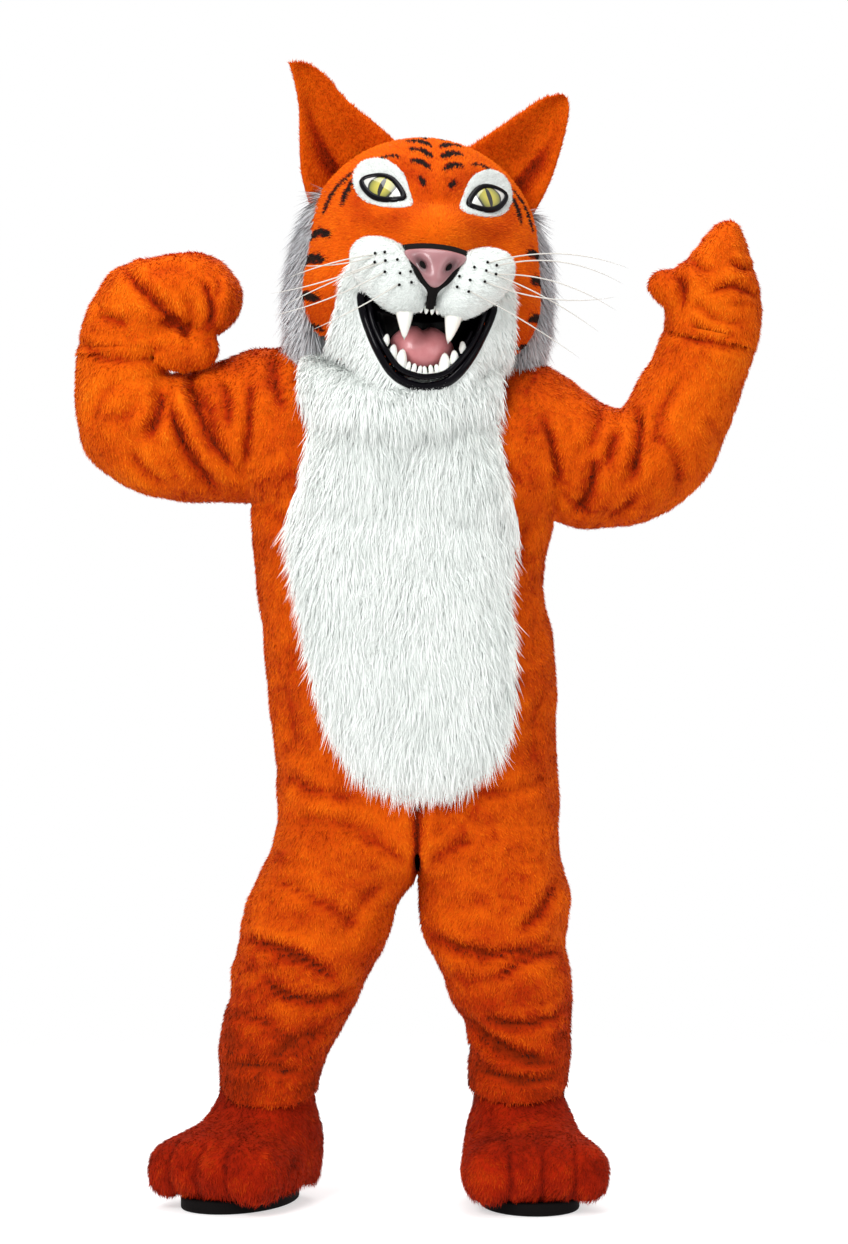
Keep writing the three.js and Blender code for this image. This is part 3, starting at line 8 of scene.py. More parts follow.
import bmesh
import bpy
import numpy as np
from mathutils import Vector, noise
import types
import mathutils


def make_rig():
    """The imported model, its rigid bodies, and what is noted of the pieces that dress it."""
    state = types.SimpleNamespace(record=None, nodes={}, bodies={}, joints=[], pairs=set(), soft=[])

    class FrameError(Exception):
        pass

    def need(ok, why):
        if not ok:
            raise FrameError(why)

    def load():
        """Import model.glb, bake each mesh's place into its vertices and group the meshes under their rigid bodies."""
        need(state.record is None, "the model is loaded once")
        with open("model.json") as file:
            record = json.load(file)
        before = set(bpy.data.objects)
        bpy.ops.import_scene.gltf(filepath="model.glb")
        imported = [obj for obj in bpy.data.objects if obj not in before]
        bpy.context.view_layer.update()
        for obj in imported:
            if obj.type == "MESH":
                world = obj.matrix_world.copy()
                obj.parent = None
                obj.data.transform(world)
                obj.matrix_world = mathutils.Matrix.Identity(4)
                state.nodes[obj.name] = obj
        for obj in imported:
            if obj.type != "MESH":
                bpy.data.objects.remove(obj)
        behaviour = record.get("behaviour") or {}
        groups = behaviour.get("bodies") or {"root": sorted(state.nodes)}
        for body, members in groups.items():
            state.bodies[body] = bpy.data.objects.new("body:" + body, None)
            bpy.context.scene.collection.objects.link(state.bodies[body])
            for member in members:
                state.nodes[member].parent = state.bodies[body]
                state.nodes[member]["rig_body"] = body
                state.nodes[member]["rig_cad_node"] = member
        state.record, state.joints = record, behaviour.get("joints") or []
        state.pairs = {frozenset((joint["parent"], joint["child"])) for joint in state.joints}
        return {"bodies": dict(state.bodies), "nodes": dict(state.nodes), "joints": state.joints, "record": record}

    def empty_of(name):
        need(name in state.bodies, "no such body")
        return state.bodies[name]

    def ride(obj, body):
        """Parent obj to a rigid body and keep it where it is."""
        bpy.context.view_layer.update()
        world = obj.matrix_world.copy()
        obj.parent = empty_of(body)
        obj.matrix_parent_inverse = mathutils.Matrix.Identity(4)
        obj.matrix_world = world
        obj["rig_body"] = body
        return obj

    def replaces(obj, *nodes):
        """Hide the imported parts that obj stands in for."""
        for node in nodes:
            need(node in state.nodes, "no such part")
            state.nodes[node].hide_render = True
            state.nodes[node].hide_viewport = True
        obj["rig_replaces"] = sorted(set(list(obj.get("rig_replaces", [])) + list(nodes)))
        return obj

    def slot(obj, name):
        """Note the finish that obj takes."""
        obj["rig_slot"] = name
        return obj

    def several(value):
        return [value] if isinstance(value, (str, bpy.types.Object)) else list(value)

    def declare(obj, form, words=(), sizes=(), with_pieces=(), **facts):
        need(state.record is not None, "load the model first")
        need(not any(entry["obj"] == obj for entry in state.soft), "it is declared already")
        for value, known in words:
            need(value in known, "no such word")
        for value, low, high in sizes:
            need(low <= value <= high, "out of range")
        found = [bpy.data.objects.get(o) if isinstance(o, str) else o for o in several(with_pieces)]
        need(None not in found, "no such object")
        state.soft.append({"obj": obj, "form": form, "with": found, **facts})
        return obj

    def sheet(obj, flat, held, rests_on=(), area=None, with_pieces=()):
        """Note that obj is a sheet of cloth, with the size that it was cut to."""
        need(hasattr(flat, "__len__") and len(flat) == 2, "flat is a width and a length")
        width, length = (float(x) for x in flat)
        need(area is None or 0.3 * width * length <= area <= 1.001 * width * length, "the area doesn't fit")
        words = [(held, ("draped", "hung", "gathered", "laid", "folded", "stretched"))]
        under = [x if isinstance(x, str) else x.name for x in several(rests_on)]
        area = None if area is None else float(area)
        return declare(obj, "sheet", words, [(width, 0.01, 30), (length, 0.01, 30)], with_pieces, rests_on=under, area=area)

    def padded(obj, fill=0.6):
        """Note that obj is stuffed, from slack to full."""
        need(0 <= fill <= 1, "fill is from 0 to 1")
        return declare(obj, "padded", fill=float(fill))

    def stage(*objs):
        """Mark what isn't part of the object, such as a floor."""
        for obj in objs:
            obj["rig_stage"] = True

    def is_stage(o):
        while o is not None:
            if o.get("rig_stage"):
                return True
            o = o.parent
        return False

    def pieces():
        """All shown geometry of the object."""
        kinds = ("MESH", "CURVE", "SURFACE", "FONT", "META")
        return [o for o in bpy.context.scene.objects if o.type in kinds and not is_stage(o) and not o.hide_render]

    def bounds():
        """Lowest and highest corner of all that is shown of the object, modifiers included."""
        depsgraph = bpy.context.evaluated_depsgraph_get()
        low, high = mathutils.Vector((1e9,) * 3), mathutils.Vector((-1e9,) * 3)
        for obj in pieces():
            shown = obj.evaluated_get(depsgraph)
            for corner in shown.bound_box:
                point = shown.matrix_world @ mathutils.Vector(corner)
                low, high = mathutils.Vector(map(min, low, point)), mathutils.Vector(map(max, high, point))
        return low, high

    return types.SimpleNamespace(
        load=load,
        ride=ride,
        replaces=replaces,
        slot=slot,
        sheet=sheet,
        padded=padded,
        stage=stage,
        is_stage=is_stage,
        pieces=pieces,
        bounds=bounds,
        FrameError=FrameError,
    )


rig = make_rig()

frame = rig.load()
cad_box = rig.bounds()
BODY = "root"
FLOOR = cad_box[0][2]
MM = 0.001
SIDES = {"right": -1, "left": 1}


# ---- numbers ----
def table(columns, rows):
    """A list of rows, each with its values by column name."""
    return [dict(zip(columns.split(), row)) for row in rows]


def along(rows, share):
    """Values between a table's rows, on a smooth curve through them."""
    last = len(rows) - 1
    place = np.clip(share, 0, 1) * last
    i = np.minimum(place.astype(int), last - 1)
    t = place - i
    values = {}
    for column in rows[0]:
        v = np.array([row[column] for row in rows], float)
        p0, p1, p2, p3 = v[np.maximum(i - 1, 0)], v[i], v[i + 1], v[np.minimum(i + 2, last)]
        bend = 2 * p0 - 5 * p1 + 4 * p2 - p3 + t * (3 * (p1 - p2) + p3 - p0)
        values[column] = p1 + 0.5 * t * (p2 - p0 + t * bend)
    return values


def power(value, n):
    return np.sign(value) * np.abs(value) ** (2 / n)


def points(x, y, z):
    return np.stack(np.broadcast_arrays(x, y, z), axis=-1).astype(float)


def mix(a, b, share):
    return a * (1 - share) + b * share


def bell(value, width):
    return np.exp(-((value / width) ** 2))


def step(value, low, high):
    """0 below low, 1 above high, smooth between."""
    t = np.clip((value - low) / (high - low), 0, 1)
    return t * t * (3 - 2 * t)


def unit(vectors):
    return vectors / np.maximum(np.linalg.norm(vectors, axis=-1, keepdims=True), 1e-9)


def cloud(places, size, seed=0.0):
    """Soft noise from -1 to 1, with lumps of about the given size; size may be one for each axis."""
    scaled = places / size + seed
    return np.array([noise.noise(Vector(p)) for p in scaled.tolist()])


def to_scene(places):
    return places * MM + np.array([0, 0, FLOOR])


def from_scene(places):
    return (places - np.array([0, 0, FLOOR])) / MM


# ---- meshes ----
WELD = 0.05  # mm within which points are joined


def link(name, data):
    made = bpy.data.objects.new(name, data)
    bpy.context.collection.objects.link(made)
    return made


def grid_patch(bm, across, up, place):
    """Adds a grid whose points lie where place(u, v) says, u and v running from 0 to 1."""
    made = bmesh.ops.create_grid(bm, x_segments=across, y_segments=up, size=1)["verts"]
    share = np.array([vert.co[:2] for vert in made]) / 2 + 0.5
    for vert, co in zip(made, to_scene(place(share[:, 0], share[:, 1]))):
        vert.co = co


def ball_patch(bm, across, up, place):
    """Adds a ball whose points lie where place(directions) says."""
    made = bmesh.ops.create_uvsphere(bm, u_segments=across, v_segments=up, radius=1)["verts"]
    directions = np.array([vert.co[:] for vert in made])
    for vert, co in zip(made, to_scene(place(directions))):
        vert.co = co


def finish_mesh(bm, name):
    """Joins doubles, turns the faces outwards and makes the object."""
    bmesh.ops.remove_doubles(bm, verts=bm.verts, dist=WELD * MM)
    bmesh.ops.dissolve_degenerate(bm, edges=bm.edges, dist=1e-6)
    bmesh.ops.recalc_face_normals(bm, faces=bm.faces)
    mesh = bpy.data.meshes.new(name)
    bm.to_mesh(mesh)
    bm.free()
    mesh.shade_smooth()
    return link(name, mesh)


def piece_of(name, *patches):
    """A piece from patches, each a (function, across, up, place) row."""
    bm = bmesh.new()
    for make, across, up, place in patches:
        make(bm, across, up, place)
    return finish_mesh(bm, name)


def places_of(piece):
    co = np.empty(len(piece.data.vertices) * 3)
    piece.data.vertices.foreach_get("co", co)
    return from_scene(co.reshape(-1, 3))


def normals_of(piece):
    normals = np.empty(len(piece.data.vertices) * 3)
    piece.data.vertex_normals.foreach_get("vector", normals)
    return normals.reshape(-1, 3)


def move_to(piece, places):
    piece.data.vertices.foreach_set("co", to_scene(places).ravel())
    piece.data.update()


def push(piece, shift):
    """Moves a piece's points along their normals, by shift(places, normals) in mm."""
    places, normals = places_of(piece), normals_of(piece)
    move_to(piece, places + normals * shift(places, normals)[:, None])


def smooth(piece, times):
    bm = bmesh.new()
    bm.from_mesh(piece.data)
    for _ in range(times):
        bmesh.ops.smooth_vert(bm, verts=bm.verts, factor=0.5,
                              use_axis_x=True, use_axis_y=True, use_axis_z=True)
    bm.to_mesh(piece.data)
    bm.free()


def wall(piece, thickness):
    """Gives a surface its thickness, inwards."""
    modifier = piece.modifiers.new("wall", "SOLIDIFY")
    modifier.thickness = thickness * MM
    modifier.offset = -1


def set_number(piece, name, values):
    """Stores a number at each point."""
    layer = piece.data.attributes.new(name, "FLOAT", "POINT")
    layer.data.foreach_set("value", values.astype(np.float32))


def set_tone(piece, tone):
    """Stores how light the surface is at each point."""
    set_number(piece, "tone", np.clip(tone, 0, 1))


def give(piece, material, slot, *nodes):
    """Gives a piece its material and says what it is for, and which solids it takes the place of."""
    piece.data.materials.append(material)
    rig.ride(piece, BODY)
    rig.slot(piece, slot)
    if nodes:
        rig.replaces(piece, *nodes)


# ---- shader maths ----
class Value:
    """A shader socket that can be used in sums and products."""

    def __init__(self, maker, socket):
        self.maker = maker
        self.socket = socket

    def _maths(self, operation, *others):
        return self.maker.node("ShaderNodeMath", {"operation": operation}, *others)

    def __add__(self, other):
        return self._maths("ADD", self, other)

    def __sub__(self, other):
        return self._maths("SUBTRACT", self, other)

    def __mul__(self, other):
        return self._maths("MULTIPLY", self, other)

    def above(self, limit):
        return self._maths("GREATER_THAN", self, limit)

    def length(self, other):
        """The long side of the right-angled triangle with these two sides."""
        return self._maths("SQRT", self * self + other * other)


class Nodes:
    """A node tree under construction."""

    def __init__(self, owner):
        owner.use_nodes = True
        self.tree = owner.node_tree

    def node(self, kind, settings, *inputs, output=0, **named):
        """Makes a node with its settings and the values or links of its sockets, in order or by name."""
        made = self.tree.nodes.new(kind)
        for name, value in settings.items():
            setattr(made, name, value)
        sockets = [*zip(made.inputs, inputs), *((made.inputs[name], value) for name, value in named.items())]
        for socket, value in sockets:
            if isinstance(value, Value):
                self.tree.links.new(value.socket, socket)
            elif value is not None:
                socket.default_value = value
        return Value(self, made.outputs[output])


NOISE_DETAIL, NOISE_ROUGHNESS = 3.0, 0.55


class Finish(Nodes):
    """A material under construction."""

    def __init__(self, name, **settings):
        self.material = bpy.data.materials.new(name)
        super().__init__(self.material)
        self.shader = self.tree.nodes["Principled BSDF"]
        for socket, value in settings.items():
            self.shader.inputs[socket.replace("_", " ")].default_value = value

    def feed(self, socket, value):
        self.tree.links.new(value.socket, self.shader.inputs[socket])

    def object_place(self):
        return self.node("ShaderNodeTexCoord", {}, output=3)

    def stored(self, name):
        """A number stored on the points."""
        return self.node("ShaderNodeAttribute", {"attribute_name": name}, output=2)

    def noise(self, scale):
        place = self.object_place()
        return self.node("ShaderNodeTexNoise", {}, place, None, scale, NOISE_DETAIL, NOISE_ROUGHNESS)

    def parts(self, vector):
        """The first two numbers of a vector."""
        first = self.node("ShaderNodeSeparateXYZ", {}, vector)
        return first, Value(self, first.socket.node.outputs[1])

    def ramp(self, stops, place):
        colour = self.node("ShaderNodeValToRGB", {}, place)
        elements = colour.socket.node.color_ramp.elements
        while len(elements) < len(stops):
            elements.new(1)
        for element, (position, shade) in zip(elements, stops):
            element.position = position
            element.color = (*shade, 1)
        return colour

    def blend(self, share, a, b):
        """Mixes two colours; five of the mix node's sockets, for other kinds of value, come before them."""
        a, b = (value if isinstance(value, Value) else (*value, 1) for value in (a, b))
        return self.node("ShaderNodeMix", {"data_type": "RGBA"}, share, *[None] * 5, a, b, output=2)

    def bump(self, height, strength, distance):
        made = self.node("ShaderNodeBump", {}, Strength=strength, Distance=distance, Height=height)
        self.feed("Normal", made)


# Each ramp runs from the darkest tone of a fabric to its lightest.
STRIPE = (0.013, 0.007, 0.006)
ORANGE = [
    (0.0, STRIPE), (0.13, STRIPE), (0.2, (0.15, 0.012, 0.0004)), (0.4, (0.4, 0.024, 0.0004)),
    (0.6, (0.66, 0.088, 0.0008)), (0.8, (0.82, 0.16, 0.002)), (1.0, (0.95, 0.28, 0.012)),
]
RUST = [
    (0.0, (0.05, 0.003, 0.0002)), (0.3, (0.2, 0.006, 0.0002)), (0.5, (0.34, 0.012, 0.0003)),
    (0.75, (0.56, 0.055, 0.0005)), (1.0, (0.8, 0.14, 0.002)),
]
WHITE = [
    (0.0, (0.03, 0.03, 0.03)), (0.12, (0.2, 0.2, 0.19)), (0.4, (0.55, 0.57, 0.55)),
    (0.7, (0.87, 0.91, 0.885)), (1.0, (0.98, 1.0, 0.98)),
]
GREY = [
    (0.0, (0.13, 0.13, 0.13)), (0.4, (0.33, 0.33, 0.34)), (0.7, (0.5, 0.51, 0.53)), (1.0, (0.74, 0.75, 0.76)),
]


# Painted shade: the ground under a pile is set darker than the pile, as the pile shades it.
GROUND_SHADE = 0.8  # the ground's tone, of the tone of the pile on it


def cloth_finish(name, ramp, sheen):
    """The ground of a plush or fur, whose tone is stored on its points, darkened by GROUND_SHADE as painted shade
    under the pile.
    """
    finish = Finish(name, Roughness=0.95, Specular_IOR_Level=0.08, Sheen_Weight=0.05, Sheen_Roughness=0.5,
                    Sheen_Tint=sheen)
    fleck = finish.noise(420)
    finish.feed("Base Color", finish.ramp(ramp, finish.stored("tone") * GROUND_SHADE + (fleck - 0.5) * 0.16))
    finish.bump(fleck, 0.5, 0.002)
    return finish.material


def pile_finish(name, ramp, sheen, root):
    """Tufts and strands: the map's first number is the tone, its second the place from root to tip; towards the root a
    strand is painted darker, as painted shade deep in the pile.
    """
    finish = Finish(name, Roughness=0.8, Specular_IOR_Level=0.08, Sheen_Weight=0.08, Sheen_Roughness=0.4,
                    Sheen_Tint=sheen)
    tone, up = finish.parts(finish.node("ShaderNodeUVMap", {"uv_map": "OFBake"}))
    finish.feed("Base Color", finish.ramp(ramp, tone + (up - 1) * root))
    return finish.material


WARM, PALE = (1.0, 0.4, 0.08, 1), (1, 1, 1, 1)
SLOTS = {"orange": "orange_plush", "rust": "rust_plush", "white": "white_fur", "grey": "grey_fur"}
CLOTH, PILE = {}, {}
# root: how much darker each strand is painted at its root, as painted shade deep in the pile
for fabric, colours, sheen, root in (("orange", ORANGE, WARM, 0.16), ("rust", RUST, WARM, 0.16),
                                     ("white", WHITE, PALE, 0.22), ("grey", GREY, PALE, 0.25)):
    CLOTH[fabric] = cloth_finish(f"{fabric}_cloth", colours, sheen)
    PILE[fabric] = pile_finish(f"{fabric}_pile", colours, sheen, root)


def dress(piece, fabric, tone, thick, *nodes):
    """Gives a piece its fabric, with its tone at each point, and a thickness unless it is closed."""
    set_tone(piece, tone)
    give(piece, CLOTH[fabric], SLOTS[fabric], *nodes)
    if thick:
        wall(piece, thick)
    return piece


# ---- pile and fur: many tapered strands joined in one mesh ----
def sample(piece, per_cm2, rng):
    """Random places on a piece, with the outward directions there."""
    mesh = piece.data
    mesh.calc_loop_triangles()
    corners = np.empty(len(mesh.loop_triangles) * 3, int)
    mesh.loop_triangles.foreach_get("vertices", corners)
    corners = corners.reshape(-1, 3)
    places, normals = places_of(piece), normals_of(piece)
    a, b, c = (places[corners[:, k]] for k in range(3))
    areas = np.linalg.norm(np.cross(b - a, c - a), axis=1) / 2
    count = int(areas.sum() / 100 * per_cm2)
    chosen = rng.choice(len(areas), count, p=areas / areas.sum())
    s, t = rng.random((2, count))
    fold = s + t > 1
    s, t = np.where(fold, 1 - s, s), np.where(fold, 1 - t, t)
    share = np.stack([1 - s - t, s, t], axis=1)[:, :, None]
    triangle = corners[chosen]
    return (places[triangle] * share).sum(axis=1), unit((normals[triangle] * share).sum(axis=1))


def strand_mesh(name, spine, across, widths, tone):
    """Ribbons along the spines, one point wide at the tip: spine is strands x steps x 3."""
    strands, steps, _ = spine.shape
    left = spine - across * widths[:, :, None] / 2
    right = spine + across * widths[:, :, None] / 2
    points_each = 2 * steps - 1
    co = np.empty((strands, points_each, 3))
    co[:, 0:2 * steps - 2:2] = left[:, :-1]
    co[:, 1:2 * steps - 2:2] = right[:, :-1]
    co[:, -1] = spine[:, -1]
    faces = []
    for k in range(steps - 2):
        a = 2 * k
        faces += [(a, a + 1, a + 3), (a, a + 3, a + 2)]
    faces.append((points_each - 3, points_each - 2, points_each - 1))
    corner = np.array(faces)
    loops = (corner[None] + (np.arange(strands) * points_each)[:, None, None]).reshape(-1)
    mesh = bpy.data.meshes.new(name)
    mesh.vertices.add(strands * points_each)
    mesh.vertices.foreach_set("co", to_scene(co.reshape(-1, 3)).ravel())
    mesh.loops.add(len(loops))
    mesh.loops.foreach_set("vertex_index", loops.astype(np.int32))
    mesh.polygons.add(len(loops) // 3)
    mesh.polygons.foreach_set("loop_start", np.arange(0, len(loops), 3, dtype=np.int32))
    height = np.repeat(np.arange(steps), 2)[:points_each] / (steps - 1)
    uv = np.stack([np.repeat(tone, points_each), np.tile(height, strands)], axis=1)
    layer = mesh.uv_layers.new(name="OFBake")
    layer.data.foreach_set("uv", np.clip(uv, 0.004, 0.996)[loops].ravel())
    mesh.update(calc_edges=True)
    mesh.validate()
    return link(name, mesh)


FUR_ON = {}
SINK = 1.0  # mm that the roots lie under the skin
UNEVEN = 0.25  # by which the lengths vary
SWING, LEAN_SPREAD = 0.22, 7  # how the strands stray from the comb, and from their lean in degrees
TONE_SPREAD = 0.05
TAPER = 1.6
CELL_KEYS = np.array([73856093.0, 19349663.0, 83492791.0])  # large primes, so that each cell's key is its own


def pile(name, skin, fabric, seed, per_cm2, length, width, lean, comb, tone,
         steps=2, droop=0.0, wave=0.0, clump=0.0, gather=0.0, roll=0.6, keep=None):
    """Covers a skin with strands. Lengths in mm; lean is in degrees from straight out towards the comb."""
    rng = np.random.default_rng(seed)
    roots, normals = sample(skin, per_cm2, rng)
    if keep is not None:
        kept = keep(roots) > rng.random(len(roots))
        roots, normals = roots[kept], normals[kept]
    count = len(roots)
    long = length(roots) if callable(length) else np.full(count, float(length))
    long = long * (1 + UNEVEN * rng.uniform(-1, 1, count))
    flow = comb(roots)
    flow = unit(flow - normals * (flow * normals).sum(axis=1, keepdims=True))
    side = np.cross(normals, flow)
    swing = rng.normal(0, SWING, count)[:, None]
    flow = unit(flow + side * swing)
    angle = np.radians(lean + rng.normal(0, LEAN_SPREAD, count))[:, None]
    heading = normals * np.cos(angle) + flow * np.sin(angle)
    side = unit(np.cross(normals, heading))
    tilt = (roll * rng.uniform(-1, 1, count))[:, None]
    across = unit(side * np.cos(tilt) + np.cross(heading, side) * np.sin(tilt))
    rise = np.linspace(0, 1, steps)[None, :, None]
    reach = long[:, None, None]
    spine = roots[:, None] - normals[:, None] * SINK + heading[:, None] * rise * reach
    spine = spine + np.array([0, 0, -1.0]) * droop * reach * rise ** 2
    if wave:
        phase = rng.uniform(0, 2 * math.pi, count)[:, None, None]
        swaying = np.sin(phase + rise * 5.0) - np.sin(phase)
        spine = spine + side[:, None] * swaying * wave * rise
    if clump:
        cell = np.floor(roots / clump + cloud(roots, 3 * clump, 9.0)[:, None] * 0.8)
        key = (cell @ CELL_KEYS).astype(np.int64)
        _, member = np.unique(key, return_inverse=True)
        total = np.maximum(np.bincount(member), 1)
        middle = np.stack([np.bincount(member, weights=axis) / total for axis in roots.T], axis=1)[member]
        spine = spine + ((middle - roots)[:, None]) * gather * rise ** 1.5
    widths = width * (1 - np.linspace(0, 1, steps) ** TAPER)[None] * np.ones((count, 1))
    shade = np.clip(tone(roots) + rng.normal(0, TONE_SPREAD, count), 0.01, 0.99)
    piece = strand_mesh(name, spine, across[:, None], widths, shade)
    FUR_ON.setdefault(skin.name, []).append(piece)
    give(piece, PILE[fabric], SLOTS[fabric])


# ---- the jumpsuit ----
BODY_POWER = 2.4
BODY_RINGS = table("z_right z_left right left front back", [
    (656, 656, -249, 241, 150, 158),
    (728, 728, -248, 240, 156, 160),
    (812, 812, -255, 234, 163, 156),
    (900, 896, -265, 237, 168, 150),
    (990, 980, -273, 229, 168, 146),
    (1075, 1056, -284, 214, 165, 146),
    (1153, 1128, -292, 220, 160, 149),
    (1213, 1181, -294, 234, 156, 150),
])
ROUND = "in_x in_z out_x out_z y depth"
SLEEVES = {
    "right": table(ROUND, [
        (-297.5, 1482, -294, 1213, 0, 118),
        (-343, 1463, -360, 1216, 0, 114),
        (-386, 1446, -427, 1220, -2, 108),
        (-406, 1444, -490, 1232, -5, 104),
        (-421, 1438, -553, 1267, -8, 101),
        (-434, 1438, -588, 1312, -12, 97),
        (-442, 1446, -598, 1372, -16, 92),
        (-438, 1459, -600, 1428, -20, 86),
        (-427, 1482, -593, 1477, -25, 80),
    ]),
    "left": table(ROUND, [
        (224, 1452, 234, 1181, 0, 118),
        (271, 1421, 280, 1172, 0, 114),
        (311, 1391, 338, 1174, -3, 108),
        (338, 1375, 402, 1186, -8, 103),
        (353, 1377, 460, 1218, -12, 99),
        (367, 1400, 502, 1265, -17, 94),
        (381, 1426, 528, 1323, -21, 89),
        (399, 1455, 553, 1389, -26, 84),
        (413, 1488, 574, 1449, -30, 80),
        (427, 1519, 584, 1487, -34, 76),
    ]),
}
NECK = {
    "right": np.array([-94, 0, 1494]), "left": np.array([88, 0, 1472]),
    "front": np.array([-6, -98, 1428]), "back": np.array([-6, 92, 1488]),
}
NECK_SHARE = 3 / 7
CROTCH, HIP, MIDLINE = 565, 656, -4
LEGS = {
    "right": table("z outer inner front back y roundness hem", [
        (656, -249, -4, 150, 158, 0, 2.4, 0),
        (610, -259, -4, 146, 152, 0, 2.4, 0),
        (565, -278, -4, 138, 142, 0, 2.3, 0),
        (518, -301, -37, 128, 130, 0, 2.2, 0),
        (476, -310, -51, 122, 120, 0, 2.2, 0),
        (434, -317, -66, 116, 112, 0, 2.2, 0),
        (392, -329, -89, 109, 108, 2, 2.2, 0),
        (350, -332, -107, 103, 106, 4, 2.2, 0),
        (308, -343, -130, 99, 103, 6, 2.2, 0),
        (266, -349, -155, 96, 98, 8, 2.2, 4),
        (228, -351, -172, 96, 93, 8, 2.2, 14),
        (195, -349, -180, 101, 88, 8, 2.2, 27),
    ]),
    "left": table("z outer inner front back y roundness hem", [
        (656, 241, -4, 150, 158, 0, 2.4, 0),
        (610, 241, -4, 146, 152, 0, 2.4, 0),
        (565, 252, -4, 138, 142, 0, 2.3, 0),
        (518, 262, -1, 130, 130, 0, 2.2, 0),
        (476, 255, 2, 124, 120, 0, 2.2, 0),
        (434, 255, 17, 117, 112, 0, 2.2, 0),
        (392, 261, 40, 111, 108, 0, 2.2, 0),
        (350, 266, 53, 106, 106, 2, 2.2, 0),
        (308, 263, 78, 98, 101, 4, 2.2, 0),
        (266, 264, 87, 94, 97, 6, 2.2, 0),
        (228, 261, 85, 94, 93, 6, 2.2, 10),
        (196, 256, 88, 98, 88, 6, 2.2, 21),
    ]),
}
QUARTER = 32  # steps from the centre seam to the side seam
LOWER_STEPS = 58
UPPER_STEPS = 32
TUBE_STEPS = 50


def body_ring(row, side, facing, turn):
    """turn 0 is the centre of the front or back, 1 the side seam."""
    centre = (row["right"] + row["left"]) / 2
    x = centre + (row[side] - centre) * power(np.sin(turn * math.pi / 2), BODY_POWER)
    depth = row["front"] if facing < 0 else row["back"]
    y = facing * depth * power(np.cos(turn * math.pi / 2), BODY_POWER)
    share = (x - row["right"]) / (row["left"] - row["right"])
    return points(x, y, mix(row["z_right"], row["z_left"], share))


def section(row, angle, roundness=2.0):
    """A point of a sleeve or mitt section: angle 0 is the outer side, a quarter turn the front."""
    centre = [(row["in_x"] + row["out_x"]) / 2, (row["in_z"] + row["out_z"]) / 2]
    arm = [(row["out_x"] - row["in_x"]) / 2, (row["out_z"] - row["in_z"]) / 2]
    c, s = power(np.cos(angle), roundness), power(np.sin(angle), roundness)
    return points(centre[0] + arm[0] * c, row["y"] - row["depth"] * s, centre[1] + arm[1] * c)


def neck_edge(side, facing, turn):
    """The neckline from the centre to the shoulder, then the shoulder seam."""
    shoulder, middle = NECK[side], NECK["front" if facing < 0 else "back"]
    arm = SLEEVES[side][0]
    top = np.array([arm["in_x"], 0, arm["in_z"]])
    angle = np.clip(turn / NECK_SHARE, 0, 1) * math.pi / 2
    s, c = np.sin(angle), np.cos(angle)
    line = points(middle[0] + (shoulder[0] - middle[0]) * s, middle[1] * c,
                  shoulder[2] + (middle[2] - shoulder[2]) * c)
    out = np.clip((turn - NECK_SHARE) / (1 - NECK_SHARE), 0, 1)[:, None]
    return np.where(turn[:, None] > NECK_SHARE, mix(shoulder, top, out), line)


def upper_body(side, facing, turn, rise):
    """Spanned between the armpits, the armhole, the shoulder and the centre."""
    armpits = {column: np.full(len(turn), float(value)) for column, value in BODY_RINGS[-1].items()}
    zero, one, up = np.zeros(len(turn)), np.ones(len(turn)), rise[:, None]

    def base(t):
        return body_ring(armpits, side, facing, t)

    def centre(t):
        line = mix(base(zero), neck_edge(side, facing, zero), t[:, None])
        line[:, 1] += facing * 22 * np.sin(math.pi * t)
        return line

    armhole = section(SLEEVES[side][0], -facing * math.pi * rise)
    edges = mix(base(turn), neck_edge(side, facing, turn), up) + mix(centre(rise), armhole, turn[:, None])
    corners = mix(mix(base(zero), base(one), turn[:, None]),
                  mix(neck_edge(side, facing, zero), neck_edge(side, facing, one), turn[:, None]), up)
    return edges - corners


def body_point(facing, height, across):
    """Height 0 is the hips, 1 the armpits, 2 the neck; across runs from -1, the right side seam, to 1."""
    turn = np.abs(across)
    lower = along(BODY_RINGS, height)
    out = np.empty((len(turn), 3))
    for side, here in (("right", across <= 0), ("left", across > 0)):
        for part, spot in ((0, here & (height <= 1)), (1, here & (height > 1))):
            if not spot.any():
                continue
            if part == 0:
                row = {column: value[spot] for column, value in lower.items()}
                out[spot] = body_ring(row, side, facing, turn[spot])
            else:
                out[spot] = upper_body(side, facing, turn[spot], height[spot] - 1)
    return out


def body_side(facing):
    def place(u, v):
        rows = v * (LOWER_STEPS + UPPER_STEPS)
        height = np.where(rows <= LOWER_STEPS, rows / LOWER_STEPS, 1 + (rows - LOWER_STEPS) / UPPER_STEPS)
        return body_point(facing, height, 2 * u - 1)
    return (grid_patch, 2 * QUARTER, LOWER_STEPS + UPPER_STEPS, place)


def leg(side):
    def place(u, v):
        row = along(LEGS[side], v)
        facing = np.where(u <= 0.5, -1, 1)
        turn = np.where(u <= 0.5, 2 * u, 2 - 2 * u)
        climb = np.clip((row["z"] - CROTCH) / (HIP - CROTCH), 0, 1)
        start = math.pi / 2 * np.sqrt(climb)
        angle = start + (math.pi - start) * turn
        inner = np.where(row["z"] > CROTCH, MIDLINE, row["inner"])
        centre, reach = (row["outer"] + inner) / 2, (inner - row["outer"]) / 2
        x = centre + reach * power(np.cos(angle), row["roundness"])
        x_start = centre + reach * power(np.cos(start), row["roundness"])
        x = row["outer"] + (x - row["outer"]) * (inner - row["outer"]) / (x_start - row["outer"])
        depth = np.where(facing < 0, row["front"], row["back"])
        y = row["y"] + facing * depth * power(np.maximum(np.sin(angle), 0), row["roundness"])
        return points(x, y, row["z"] + np.where(facing < 0, -1, 0.25) * row["hem"] * np.sin(angle))
    return (grid_patch, 2 * QUARTER, TUBE_STEPS, place)


def sleeve(side):
    def place(u, v):
        return section(along(SLEEVES[side], v), 2 * math.pi * u)
    return (grid_patch, 2 * UPPER_STEPS, TUBE_STEPS, place)


